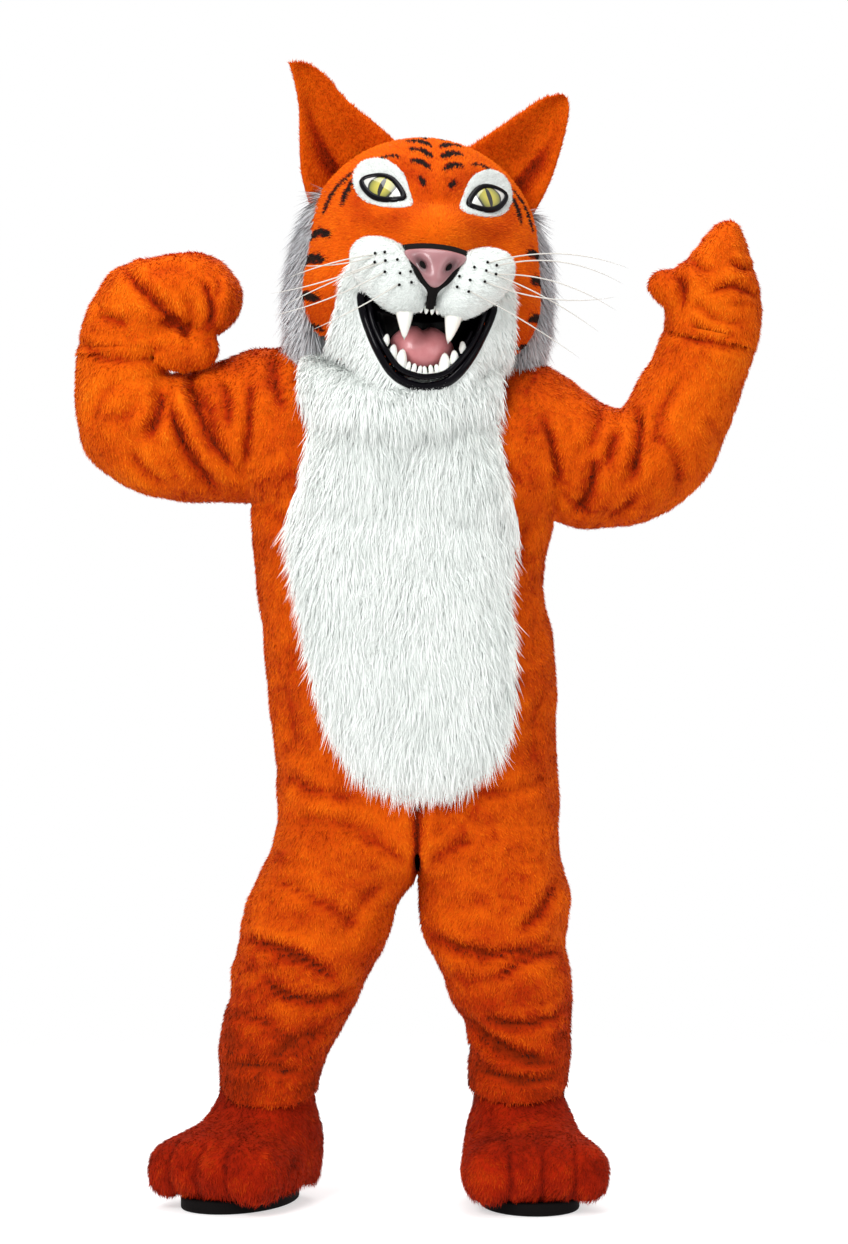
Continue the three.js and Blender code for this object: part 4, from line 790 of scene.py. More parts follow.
# Side -1 is the front, 1 the back; x and height of both ends, how far the middle bows, depth and width.
CREASE = "side x1 z1 x2 z2 bow depth width"
FOLDS = table(CREASE, [
    # wearer's right sleeve
    (-1, -446, 1412, -470, 1322, 8, 14, 15), (-1, -400, 1440, -318, 1268, -14, 15, 13),
    (-1, -428, 1378, -352, 1238, -12, 13, 12), (-1, -292, 1420, -306, 1262, 6, 9, 9),
    (-1, -520, 1420, -566, 1340, -10, 6, 14), (-1, -470, 1390, -560, 1356, 12, 5, 13),
    (-1, -372, 1392, -350, 1330, 6, 6, 12), (-1, -590, 1478, -430, 1470, -18, 7, 10),
    (-1, -498, 1300, -440, 1244, -8, 8, 11), (-1, -340, 1420, -330, 1340, 6, 7, 10),
    (1, -446, 1408, -480, 1312, -8, 14, 16), (1, -404, 1436, -330, 1272, 12, 12, 14),
    (1, -292, 1420, -306, 1262, 6, 9, 9), (1, -590, 1476, -430, 1472, -12, 6, 10),
    (1, -500, 1400, -560, 1372, -8, 6, 12),
    # wearer's left sleeve
    (-1, 376, 1374, 362, 1246, 7, 14, 12), (-1, 342, 1334, 326, 1278, -5, 9, 10),
    (-1, 302, 1284, 268, 1196, 8, 12, 11), (-1, 212, 1352, 240, 1252, 6, 9, 9),
    (-1, 455, 1432, 400, 1276, -16, 7, 13), (-1, 404, 1330, 452, 1236, 12, 6, 12),
    (-1, 488, 1356, 520, 1310, 8, 5, 14), (-1, 425, 1516, 580, 1488, -16, 8, 10),
    (-1, 372, 1226, 330, 1190, 6, 8, 10),
    (-1, 245, 1232, 300, 1200, -6, 7, 10), (-1, 310, 1390, 290, 1300, 6, 6, 12),
    (1, 376, 1374, 352, 1246, -7, 13, 14), (1, 304, 1300, 280, 1200, 8, 10, 13),
    (1, 212, 1352, 240, 1252, 6, 9, 9), (1, 425, 1514, 580, 1488, 12, 7, 10),
    (1, 440, 1400, 400, 1290, 12, 7, 13),
    # armpits and trunk
    (-1, -252, 1476, -232, 1372, -8, 9, 12), (-1, -262, 1210, -222, 1120, 10, 5, 14),
    (-1, 196, 1190, 176, 1100, -8, 5, 14), (-1, -238, 900, -214, 780, 8, 4, 16),
    (-1, 210, 880, 196, 760, -8, 4, 16),
    (-1, -236, 742, -106, 704, -8, 8, 13), (-1, 214, 738, 92, 716, 10, 6, 13),
    (-1, -222, 664, -60, 640, 12, 5, 14),
    (1, -236, 742, -80, 690, -10, 8, 15), (1, 214, 738, 60, 690, 10, 8, 15),
    (1, -150, 1010, 120, 1000, -16, 6, 20),
    (1, -210, 1240, -150, 1120, 10, 7, 15), (1, 170, 1220, 120, 1110, -10, 7, 15),
    # crotch
    (-1, -4, 700, -6, 566, 0, 11, 9), (1, -4, 730, -6, 566, 0, 13, 10),
    (-1, -20, 590, -110, 640, -8, 7, 12), (-1, 14, 590, 96, 634, 8, 7, 12),
    # wearer's right leg
    (-1, -304, 458, -146, 392, 12, 13, 13), (-1, -268, 392, -124, 366, -24, 11, 12),
    (-1, -262, 566, -100, 480, 10, 7, 13), (-1, -60, 560, -130, 470, -10, 6, 12),
    (-1, -330, 330, -220, 286, 10, 6, 13), (-1, -160, 300, -262, 250, -10, 6, 12),
    (-1, -340, 236, -196, 222, 12, 7, 10), (1, -300, 440, -120, 424, -12, 13, 15),
    (1, -310, 380, -140, 360, 12, 9, 14), (1, -330, 260, -200, 236, -10, 8, 13),
    (1, -250, 560, -60, 520, 10, 7, 14),
    # wearer's left leg
    (-1, 26, 460, 214, 456, -22, 14, 13), (-1, 236, 562, 170, 474, 8, 10, 12),
    (-1, 130, 396, 240, 438, 8, 11, 11), (-1, 110, 324, 250, 332, -14, 10, 10),
    (-1, 84, 316, 226, 246, -14, 14, 12), (-1, 96, 236, 236, 222, -10, 8, 10),
    (-1, 34, 520, 120, 540, -8, 5, 13), (1, 20, 440, 240, 444, -14, 13, 15),
    (1, 60, 372, 240, 380, 12, 9, 14),
    (1, 90, 270, 240, 250, 10, 10, 13), (1, 60, 560, 200, 520, -10, 7, 14),
])
RIDGE = 0.42  # how high the cloth stands beside a fold, of the fold's depth
BESIDE = 1.9  # how far beside it, of the fold's width


def near_folds(folds, places, normals):
    """For each fold: the distance from its line in mm, how much of it is here, and its row."""
    waver = 2.6 * cloud(places, 21, 6.0)
    for fold in folds:
        facing = step(normals[:, 1] * fold["side"], -0.35, 0.25)
        a, b = np.array([fold["x1"], fold["z1"]]), np.array([fold["x2"], fold["z2"]])
        run = b - a
        long = np.linalg.norm(run)
        across = np.array([-run[1], run[0]]) / long
        away = places[:, [0, 2]] - a
        t = away @ run / long ** 2
        from_line = away @ across - fold["bow"] * 4 * t * (1 - t) + waver
        ends = step(t, -0.12, 0.22) * step(1 - t, -0.12, 0.22)
        yield from_line, facing * ends, fold


def fold_shift(folds):
    def shift(places, normals):
        total = np.zeros(len(places))
        for away, here, fold in near_folds(folds, places, normals):
            w = fold["width"]
            ridges = bell(away - BESIDE * w, 1.1 * w) + bell(away + BESIDE * w, 1.1 * w)
            total += here * fold["depth"] * (RIDGE * ridges - bell(away, w))
        return total
    return shift


def fold_shade(folds, places):
    """Painted shade in the folds: soft in the trough, dark along the crease; with painted light on the ridges beside
    them.
    """
    facing = points(0, np.sign(places[:, 1] + 12), 0)
    total = np.zeros(len(places))
    for away, here, fold in near_folds(folds, places, facing):
        w, strong = fold["width"], np.clip(fold["depth"] / 12, 0, 1)
        total += here * strong * (0.2 * bell(away, 0.9 * w) + 0.3 * strong * bell(away, 5))
        total -= here * strong * 0.07 * (bell(away - BESIDE * w, 11) + bell(away + BESIDE * w, 11))
    return total


def soft_lumps(places, normals):
    """The pile and the cloth under it are never quite even."""
    return 3.2 * cloud(places, np.array([70, 70, 46])) + 1.6 * cloud(places, 24, 4.0)


def wrinkle_shade(places):
    """Fine wandering creases in the plush, in patches; they are not shaped, only painted as shade."""
    line = bell(cloud(places, np.array([40, 40, 27]), 11.0), 0.07) + 0.6 * bell(cloud(places, 19, 13.0), 0.08)
    return line * step(cloud(places, 110, 9.0), -0.35, 0.4)


def nap_and_shade_tone(places):
    """Nap: lighter and darker patches; painted shade darker towards the feet and along fine wrinkles."""
    patches = 0.13 * cloud(places, np.array([60, 60, 44]), 2.0) + 0.08 * cloud(places, 19, 7.0)
    # painted shade: darker towards the feet, where less light reaches
    low = 0.22 * step(540 - places[:, 2], 0, 360)
    arms = 0.09 * step(np.abs(places[:, 0]), 330, 480) * step(places[:, 2], 1150, 1400)
    return 0.68 + patches - low + arms - 0.14 * wrinkle_shade(places)


def plush_tone(folds):
    """The tone of orange plush with the painted shade of its folds, never as dark as a stripe."""
    return lambda places: np.maximum(nap_and_shade_tone(places) - fold_shade(folds, places), 0.3)


def plush_piece(piece, folds, thick, *nodes):
    """Presses the folds into orange plush and paints their shade on it."""
    push(piece, soft_lumps)
    tone = plush_tone(folds)(places_of(piece))
    push(piece, fold_shift(folds))
    return dress(piece, "orange", tone, thick, *nodes)


PANELS = [f"{word}_{side}" for side in SIDES for word in ("front", "back", "sleeve", "leg_front", "leg_back")]
limbs = [limb(side) for limb in (sleeve, leg) for side in SIDES]
jumpsuit = plush_piece(piece_of("jumpsuit", body_side(-1), body_side(1), *limbs), FOLDS, 3, *PANELS)


# ---- mitts and boots: rounded masses under one skin ----
def bag(rows, tip, ring, across=48, up=40):
    """A closed bag over sections, from a flat end to a rounded tip; ring(row, angle) gives its points."""
    cap, crown = 0.08, 0.88
    tip = np.array(tip, float)

    def place(u, v):
        angle = 2 * math.pi * u
        skin = ring(along(rows, (v - cap) / (crown - cap)), angle)
        middle = (ring(along(rows, v * 0), angle * 0) + ring(along(rows, v * 0), angle * 0 + math.pi)) / 2
        end = np.clip((v - crown) / (1 - crown), 0, 1)[:, None]
        start = np.clip(v / cap, 0, 1)[:, None]
        closing = tip + (skin - tip) * np.sqrt(1 - end ** 2)
        return np.where(v[:, None] < cap, mix(middle, skin, start), closing)
    return (grid_patch, across, up, place)


def lump(centre, sizes, turn):
    """An egg-shaped mass, turned about the upright axis by an angle in degrees."""
    c, s = math.cos(math.radians(turn)), math.sin(math.radians(turn))

    def place(directions):
        p = directions * np.array(sizes, float)
        return np.array(centre, float) + points(p[:, 0] * c - p[:, 1] * s, p[:, 0] * s + p[:, 1] * c, p[:, 2])
    return (ball_patch, 20, 14, place)


def skin_over(name, size, *patches):
    """One even skin over several closed masses."""
    rough = piece_of("rough", *patches)
    remesh = rough.modifiers.new("skin", "REMESH")
    remesh.mode = "VOXEL"
    remesh.voxel_size = size * MM
    evaluated = rough.evaluated_get(bpy.context.evaluated_depsgraph_get())
    mesh = bpy.data.meshes.new_from_object(evaluated)
    mesh.name = name
    mesh.shade_smooth()
    bpy.data.objects.remove(rough)
    return link(name, mesh)


FAR_OFF = 60  # a level for places that a cutting line does not reach


def trim(piece, level):
    """Removes what lies where level is negative, and draws the edge along its zero line."""
    values = level(places_of(piece))
    bm = bmesh.new()
    bm.from_mesh(piece.data)
    bm.verts.ensure_lookup_table()
    gone = [face for face in bm.faces if all(values[vert.index] < 0 for vert in face.verts)]
    bmesh.ops.delete(bm, geom=gone, context="FACES")
    moved = []
    for vert in bm.verts:
        if values[vert.index] < 0:
            others = [v for face in vert.link_faces for v in face.verts if values[v.index] > 0]
            shares = [(values[vert.index] / (values[vert.index] - values[v.index]), v.co) for v in others]
            if shares:
                share, co = min(shares, key=lambda pair: pair[0])
                moved.append((vert, vert.co.lerp(co, share)))
    for vert, co in moved:
        vert.co = co
    bm.to_mesh(piece.data)
    bm.free()


MITTS = {
    "right": {
        "hand": table(ROUND, [
            (-424, 1468, -597, 1462, -24, 83),
            (-427, 1482, -595, 1477, -25, 82),
            (-424, 1493, -583, 1533, -28, 80),
            (-417, 1502, -560, 1580, -32, 80),
            (-411, 1507, -524, 1622, -36, 79),
            (-405, 1510, -462, 1636, -39, 78),
            (-399, 1510, -394, 1646, -41, 76),
            (-394, 1507, -341, 1626, -43, 74),
            (-391, 1502, -311, 1584, -44, 70),
            (-388, 1497, -316, 1543, -45, 62),
            (-385, 1493, -338, 1515, -45, 44),
        ]),
        "tip": (-366, -45, 1496),
        "thumb": table(ROUND, [
            (-452, 1516, -462, 1452, -62, 34),
            (-414, 1514, -420, 1438, -68, 36),
            (-378, 1508, -380, 1442, -70, 34),
            (-354, 1500, -355, 1452, -70, 22),
        ]),
        "thumb_tip": (-346, -70, 1476),
        "wrist": (-510, -25, 1471), "inward": (0, 0, 1), "cuff": (-620, -456),
    },
    "left": {
        "hand": table(ROUND, [
            (423, 1505, 587, 1472, -33, 79),
            (426, 1519, 587, 1487, -34, 78),
            (428, 1543, 593, 1535, -37, 75),
            (431, 1570, 591, 1578, -41, 73),
            (438, 1604, 580, 1612, -45, 69),
            (458, 1632, 571, 1638, -48, 62),
            (486, 1658, 564, 1664, -50, 52),
            (506, 1686, 556, 1688, -51, 38),
            (517, 1697, 549, 1699, -51, 22),
        ]),
        "tip": (533, -51, 1703),
        "thumb": table(ROUND, [
            (486, 1612, 470, 1538, -52, 36),
            (440, 1616, 430, 1548, -56, 34),
            (414, 1615, 408, 1564, -58, 26),
            (399, 1606, 396, 1578, -58, 15),
        ]),
        "thumb_tip": (391, -58, 1592),
        "wrist": (506, -34, 1494), "inward": (0.2, 0, 0.98), "cuff": (400, 620),
    },
}
MITT_FOLDS = {
    "right": table(CREASE, [
        (-1, -512, 1620, -416, 1528, -8, 11, 12), (-1, -373, 1592, -362, 1514, 8, 11, 9),
        (-1, -352, 1598, -349, 1560, 4, 7, 7), (-1, -402, 1566, -398, 1510, 6, 6, 9),
        (-1, -446, 1522, -396, 1500, 8, 11, 11),
        (-1, -596, 1490, -440, 1474, -14, 9, 9), (-1, -560, 1530, -500, 1512, 6, 6, 9),
        (-1, -560, 1560, -500, 1520, -8, 4, 12), (-1, -470, 1600, -400, 1612, 8, 4, 12),
        (1, -500, 1618, -420, 1530, 8, 6, 13), (1, -367, 1600, -360, 1520, -8, 8, 10),
        (1, -410, 1606, -404, 1530, -8, 7, 10),
    ]),
    "left": table(CREASE, [
        (-1, 447, 1602, 451, 1548, 4, 10, 9), (-1, 500, 1574, 584, 1566, 12, 10, 9),
        (-1, 462, 1640, 500, 1606, -6, 7, 9), (-1, 534, 1626, 574, 1616, -4, 9, 7),
        (-1, 466, 1520, 540, 1498, -8, 9, 9),
        (-1, 470, 1560, 560, 1520, -14, 6, 9),
        (1, 448, 1610, 452, 1550, 4, 7, 10), (1, 510, 1690, 500, 1600, 4, 6, 9),
        (1, 548, 1680, 552, 1600, -4, 6, 9),
    ]),
}


def build_mitt(side):
    parts = MITTS[side]
    palm = bag(parts["hand"], parts["tip"], lambda row, angle: section(row, angle, 2.25))
    thumb = bag(parts["thumb"], parts["thumb_tip"], lambda row, angle: section(row, angle))
    mitt = skin_over(f"mitt_{side}_plush", 6, palm, thumb)
    smooth(mitt, 3)

    def beyond_wrist(places):
        within = (places[:, 0] > parts["cuff"][0]) & (places[:, 0] < parts["cuff"][1])
        return np.where(within, (places - parts["wrist"]) @ np.array(parts["inward"]), FAR_OFF)
    trim(mitt, beyond_wrist)
    return plush_piece(mitt, MITT_FOLDS[side], 3, f"mitt_{side}")


SOLE_THICK = 22
SKIN_GAP = 0.5  # between the sole and the plush on it
FOOT_POWER = 2.6
FEET = {"right": {"x": -268, "y": 2, "turn": -30}, "left": {"x": 174, "y": 0, "turn": 9}}
BOOT = table("in_f in_z out_f out_z half", [
    (74, 208, -74, 206, 71),
    (79, 184, -82, 170, 76),
    (92, 164, -92, 112, 88),
    (108, 152, -88, 64, 96),
    (124, 144, -56, 23, 104),
    (142, 137, 6, 22.3, 113),
    (162, 131, 74, 22.3, 121),
    (184, 124, 140, 22.3, 125),
    (206, 112, 186, 23, 118),
    (221, 92, 212, 36, 98),
])
BOOT_TIP, BOOT_TOP = (228, 64), 202
TOES = table("across forward half long tall", [
    (-84, 158, 38, 58, 44), (-29, 173, 40, 60, 46), (28, 175, 40, 60, 46), (82, 160, 38, 58, 44),
])
SOLE_MIDDLE, SOLE_REACH, SOLE_HALF = 73, 139, 96
SIDE_SAG = 12  # how far the plush hangs past the upper edge of the sole, at the sides


def foot_point(foot, forward, across, height):
    """A place given forward of and across a foot that is turned on the floor."""
    turn = math.radians(foot["turn"])
    return points(foot["x"] + forward * math.sin(turn) + across * math.cos(turn),
                  foot["y"] - forward * math.cos(turn) + across * math.sin(turn), height)


def along_and_across(side, places):
    """How far forward and across the foot the places are."""
    foot = FEET[side]
    turn = math.radians(foot["turn"])
    x, y = places[:, 0] - foot["x"], places[:, 1] - foot["y"]
    return x * math.sin(turn) - y * math.cos(turn), x * math.cos(turn) + y * math.sin(turn)


def toe_grooves(side, places):
    """1 along the lines between the toes."""
    forward, across = along_and_across(side, places)
    across = across + 3 * cloud(places, 30, 2.0)
    lines = sum(bell(across - line, 5) for line in (-58, 0, 56))
    return lines * step(forward, 84, 190) * step(128 - places[:, 2], -12, 30)


def over_the_sole(side, places):
    """1 at the sides of the foot, where the plush hangs past the sole's edge."""
    forward, across = along_and_across(side, places)
    outside = ((forward - SOLE_MIDDLE) / SOLE_REACH) ** 2 + (across / SOLE_HALF) ** 2
    return step(outside, 1.0, 1.2) * step(np.abs(across), 50, 90)


def boot_tone(side):
    def tone(places):
        patches = 0.15 * cloud(places, 48, 3.0) + 0.1 * cloud(places, 17, 5.0)
        # painted shade: a darker band round the top of the boot, under the legs' hems
        top = 0.12 * bell(places[:, 2] - 190, 26)
        # painted shade along the wrinkles and in the grooves between the toes
        return 0.56 + patches - top - 0.1 * wrinkle_shade(places) - 0.2 * toe_grooves(side, places)
    return tone


def build_boot(side):
    foot = FEET[side]

    def ring(row, angle):
        share = (1 + power(np.cos(angle), FOOT_POWER)) / 2
        across = row["half"] * power(np.sin(angle), FOOT_POWER)
        height = np.maximum(mix(row["in_z"], row["out_z"], share), SOLE_THICK + SKIN_GAP)
        return foot_point(foot, mix(row["in_f"], row["out_f"], share), across, height)

    upper = bag(BOOT, foot_point(foot, BOOT_TIP[0], 0, BOOT_TIP[1]), ring)
    toes = [lump(foot_point(foot, toe["forward"], toe["across"], 70), (toe["half"], toe["long"], toe["tall"]),
                 foot["turn"]) for toe in TOES]
    boot = skin_over(f"boot_{side}_plush", 7, upper, *toes)
    smooth(boot, 3)
    trim(boot, lambda places: BOOT_TOP - places[:, 2])
    shaped = places_of(boot)
    shaped += normals_of(boot) * (0.7 * soft_lumps(shaped, None) - 3 * toe_grooves(side, shaped))[:, None]
    sag = SIDE_SAG * over_the_sole(side, shaped)
    shaped[:, 2] = np.maximum(shaped[:, 2] - sag * step(shaped[:, 2], 110, 40), SOLE_THICK + SKIN_GAP - sag)
    move_to(boot, shaped)
    return dress(boot, "rust", boot_tone(side)(shaped), 4, f"boot_{side}")


RUBBER = Finish("black_rubber", Base_Color=(0.004, 0.003, 0.003, 1), Roughness=0.8, Specular_IOR_Level=0.08)
RUBBER.bump(RUBBER.noise(260), 0.25, 0.001)


def build_sole(side):
    """A thick plate with a rounded outline, narrower at the heel."""
    foot = FEET[side]
    bm = bmesh.new()
    rim = bmesh.ops.create_circle(bm, cap_ends=True, segments=72, radius=1)["verts"]
    for vert in rim:
        across, forward = vert.co[:2]
        half = SOLE_HALF * (0.86 + 0.15 * forward)
        vert.co = to_scene(foot_point(foot, SOLE_MIDDLE + SOLE_REACH * forward, half * across, 0.0))
    plate = bmesh.ops.extrude_face_region(bm, geom=bm.faces[:])["geom"]
    lifted = [v for v in plate if isinstance(v, bmesh.types.BMVert)]
    bmesh.ops.translate(bm, verts=lifted, vec=(0, 0, SOLE_THICK * MM))
    bmesh.ops.recalc_face_normals(bm, faces=bm.faces)
    edges = [e for e in bm.edges if e.is_manifold and e.calc_face_angle(0) > 1]
    bmesh.ops.bevel(bm, geom=edges, offset=4 * MM, segments=3, profile=0.5, affect="EDGES", material=-1)
    sole = finish_mesh(bm, f"sole_{side}_rubber")
    sole.data.shade_flat()
    give(sole, RUBBER.material, "sole_rubber", f"sole_{side}")


mitts = {side: build_mitt(side) for side in SIDES}
boots = {side: build_boot(side) for side in SIDES}
for side in SIDES:
    build_sole(side)


# ---- the bib ----
BIB = table("height right left reach", [
    (0.16, -0.06, 0.12, 9),
    (0.19, -0.14, 0.2, 14),
    (0.25, -0.25, 0.31, 18),
    (0.37, -0.36, 0.41, 18),
    (0.58, -0.43, 0.46, 18),
    (0.83, -0.45, 0.48, 18),
    (1, -0.47, 0.5, 18),
    (1.37, -0.52, 0.48, 18),
    (1.62, -0.56, 0.47, 18),
    (1.82, -0.56, 0.45, 14),
])


def body_outwards(facing, height, across):
    """The outward direction of the body, from places close by on it."""
    small = 0.004
    beyond = np.clip(across + small, -0.99, 0.99)
    along_it = body_point(facing, height, beyond) - body_point(facing, height, across - small)
    up_it = body_point(facing, height + small, across) - body_point(facing, height - small, across)
    return unit(np.cross(along_it, up_it) * -facing)


def bib_place(u, v):
    row = along(BIB, v)
    height, across = np.clip(row["height"], 0.01, 1.9), mix(row["right"], row["left"], u)
    rise = 0.5 * row["reach"] * np.minimum(1, 5 * np.minimum(u, 1 - u)) * np.minimum(1, 6 * v + 0.2)
    return body_point(-1, height, across) + body_outwards(-1, height, across) * (1.5 + rise)[:, None]


def white_tone(places):
    fine, broad = cloud(places, np.array([14, 14, 60]), 1.0), cloud(places, np.array([60, 60, 90]), 6.0)
    return 0.9 + (0.08 * fine + 0.08 * broad)


bib = piece_of("bib_ground", (grid_patch, 44, 76, bib_place))
# painted shade under the fur: the ground is set darker than its fur
dress(bib, "white", white_tone(places_of(bib)) - 0.1, 2, "belly_bib")


def down(places):
    """Combed straight down, swaying a little from place to place."""
    return points(0.35 * cloud(places, 90, 3.0), 0, -1)


def bib_length(places):
    """Uneven, most of all along the bottom edge."""
    tufts = 0.2 * cloud(places, np.array([26, 26, 40]), 5.0)
    return 48 * (1 + tufts + 0.4 * bell(places[:, 2] - 752, 34) * cloud(places, 19, 7.0))


for part, seed in (("a", 11), ("b", 12)):
    pile(f"bib_fur_{part}", bib, "white", seed, 11, bib_length, 2.1, 70, down, white_tone,
         steps=3, droop=0.1, wave=2.0, clump=17, gather=0.55, roll=0.5)


# ---- the fly over the back opening ----
FLY_FOOT, FLY_TOP, FLY_HALF = 0.12, 1.92, 0.062


def fly_place(u, v):
    height, across = mix(FLY_FOOT, FLY_TOP, v), mix(-FLY_HALF, FLY_HALF, u)
    rise = 1.5 + 4.5 * (1 - (2 * u - 1) ** 6)
    return body_point(1, height, across) + body_outwards(1, height, across) * rise[:, None]


fly = piece_of("fly_strip", (grid_patch, 10, 80, fly_place))
plush_piece(fly, FOLDS, 2, "back_fly")


# ---- the head: places on it as azimuth from the front and elevation, in degrees ----
HEAD_CENTRE = np.array([4.0, -10.0, 1643.0])
HEAD_TILT, HEAD_TURN = math.radians(5), math.radians(6)
HEAD_AXES = np.array([
    (math.cos(HEAD_TURN), -math.sin(HEAD_TURN), 0), (math.sin(HEAD_TURN), math.cos(HEAD_TURN), 0), (0, 0, 1),
]) @ np.array([
    (math.cos(HEAD_TILT), 0, math.sin(HEAD_TILT)), (0, 1, 0), (-math.sin(HEAD_TILT), 0, math.cos(HEAD_TILT)),
])
HEAD_MASSES = table("x y z rx ry rz", [
    (0, 22, 12, 204, 196, 196),
    (-104, -36, -98, 84, 108, 96),
    (104, -36, -98, 84, 108, 96),
    (0, -122, 6, 68, 112, 52),
    (0, -150, -66, 92, 84, 44),
    (0, -110, -166, 110, 100, 98),
])
MELT = 16  # how softly the masses run into each other
INSIDE, OUTSIDE = 20, 420  # mm from the centre, well within and beyond the head's skin
HALVINGS = 22
HEAD_FEATURES = table("x z wide tall out", [
    (84, 146, 46, 14, 5), (90, 98, 36, 28, -9), (0, 108, 26, 34, 5), (0, 74, 50, 9, -7),
    (40, 44, 62, 26, 17), (170, -66, 46, 74, 22),
])
NECK_EDGE = table("y z", [
    (-168, -232), (-118, -184), (-62, -142), (20, -132), (80, -142), (140, -156), (330, -158),
])


def on_head(places):
    """From the head's own axes to the costume's."""
    return places @ HEAD_AXES.T + HEAD_CENTRE


def off_head(places):
    return (places - HEAD_CENTRE) @ HEAD_AXES


def head_field(p):
    """Roughly how far outside the head's melted masses each place is."""
    total = 0
    for mass in HEAD_MASSES:
        radii = [mass["rx"], mass["ry"], mass["rz"]]
        far = np.linalg.norm((p - [mass["x"], mass["y"], mass["z"]]) / radii, axis=-1)
        total = total + np.exp((1 - far) * min(radii) / MELT)
    return -MELT * np.log(total)


def crossing(inside, outside):
    """Where the lines between two sets of places cross the head's skin."""
    for _ in range(HALVINGS):
        middle = (inside + outside) / 2
        out = (head_field(middle) > 0)[:, None]
        inside, outside = np.where(out, inside, middle), np.where(out, middle, outside)
    return inside


def feature_shift(p):
    """Brows, eye hollows and cheeks, in mm outwards on the front of the head."""
    total = 0
    for row in HEAD_FEATURES:
        near = ((np.abs(p[:, 0]) - row["x"]) / row["wide"]) ** 2 + ((p[:, 2] - row["z"]) / row["tall"]) ** 2
        total = total + row["out"] * np.exp(-near)
    return total * step(-p[:, 1], 0, 60)


def head_skin(directions, out=0.0):
    """Places on the head's skin in directions from its centre, moved outwards."""
    base = crossing(directions * INSIDE, directions * OUTSIDE)
    return on_head(base + directions * np.reshape(feature_shift(base) + out, (-1, 1)))


def front_skin(x, z):
    """Places on the head's skin straight in front of its middle plane."""
    flat = points(x, 0, z)
    return on_head(crossing(flat, flat - [0, OUTSIDE, 0]))


def ahead_of(azimuth, elevation):
    a, e = np.radians(azimuth), np.radians(elevation)
    return points(np.cos(e) * np.sin(a), -np.cos(e) * np.cos(a), np.sin(e))


def bearings(places):
    """Azimuth and elevation of places, seen from the head's centre."""
    x, y, z = off_head(places).T
    return np.degrees(np.arctan2(x, -y)), np.degrees(np.arctan2(z, np.hypot(x, y)))


CURVE_STEPS, LINE_STEPS = 160, 72


def closed_curve(corners):
    """A smooth closed line through the corners."""
    corners = np.array(corners, float)
    share = np.arange(CURVE_STEPS) / CURVE_STEPS * len(corners)
    k, t = np.floor(share).astype(int), (share % 1)[:, None]
    a, b, c, d = (corners[(k + shift) % len(corners)] for shift in (-1, 0, 1, 2))
    return b + 0.5 * t * (c - a + t * (2 * a - 5 * b + 4 * c - d + t * (3 * (b - c) + d - a)))


class Outline:
    """A smooth closed line on the head round a centre, from places seen from the front or from bearings."""

    def __init__(self, centre, corners, side=1, seen=True):
        line = np.vstack([[centre], closed_curve(corners)])
        if seen:
            line = np.stack(bearings(front_skin(*line.T)), axis=1)
        line = line * [side, 1]
        self.centre = line[0]
        offset = line[1:] - line[0]
        angle = np.arctan2(offset[:, 1], offset[:, 0]) % (2 * math.pi)
        order = np.argsort(angle)
        self.angle, self.radius = angle[order], np.hypot(offset[:, 0], offset[:, 1])[order]

    def reach(self, angle):
        return np.interp(angle % (2 * math.pi), self.angle, self.radius, period=2 * math.pi)

    def at(self, angle, scale=1.0, grow=0.0):
        """Bearings along the line, scaled and grown from its centre."""
        radius = self.reach(angle) * scale + grow
        return self.centre[0] + radius * np.cos(angle), self.centre[1] + radius * np.sin(angle)

    def level(self, places):
        """Degrees outside the line; negative inside it."""
        azimuth, elevation = bearings(places)
        across, up = azimuth - self.centre[0], elevation - self.centre[1]
        return np.hypot(across, up) - self.reach(np.arctan2(up, across))

    def line(self, out, grow):
        angle = np.arange(LINE_STEPS) / LINE_STEPS * 2 * math.pi
        return head_skin(ahead_of(*self.at(angle, 1, grow)), out)


def face_patch(outer, out, up, across=64, inner=None, inner_grow=0.0):
    """A sheet on the head out to a line, from its centre or an inner line; out(share) is in mm."""
    def place(u, v):
        angle = 2 * math.pi * u
        far = np.stack(outer.at(angle))
        near = outer.centre[:, None] if inner is None else np.stack(inner.at(angle, 1, inner_grow))
        azimuth, elevation = mix(near, far, v)
        return head_skin(ahead_of(azimuth, elevation), out(v))
    return (grid_patch, across, up, place)


def tube(path, radius, out, sides=8, closed=False, flat=1.0):
    """A round bar along a path; flat scales it in the direction out. radius(share) is in mm."""
    path = np.array(path, float)
    count = len(path)
    ahead = np.roll(path, -1, axis=0) - np.roll(path, 1, axis=0)
    if not closed:
        ahead[0], ahead[-1] = path[1] - path[0], path[-1] - path[-2]
    ahead = unit(ahead)
    out = np.broadcast_to(np.array(out, float), path.shape)
    out = unit(out - ahead * (out * ahead).sum(axis=1, keepdims=True))
    side = np.cross(ahead, out)

    def place(u, v):
        share = v * (count if closed else count - 1)
        low = np.minimum(np.floor(share + 1e-9).astype(int), count if closed else count - 2)
        t = (share - low)[:, None]
        first, second = low % count, (low + 1) % count
        angle = 2 * math.pi * u[:, None]
        sideways = mix(side[first], side[second], t) * np.cos(angle)
        turned = sideways + mix(out[first], out[second], t) * np.sin(angle) * flat
        return mix(path[first], path[second], t) + turned * radius(v)[:, None]
    return (grid_patch, sides, count if closed else count - 1, place)


def both(half):
    """A line on the wearer's left and its mirror image."""
    return half + [(-x, z) for x, z in reversed(half)]


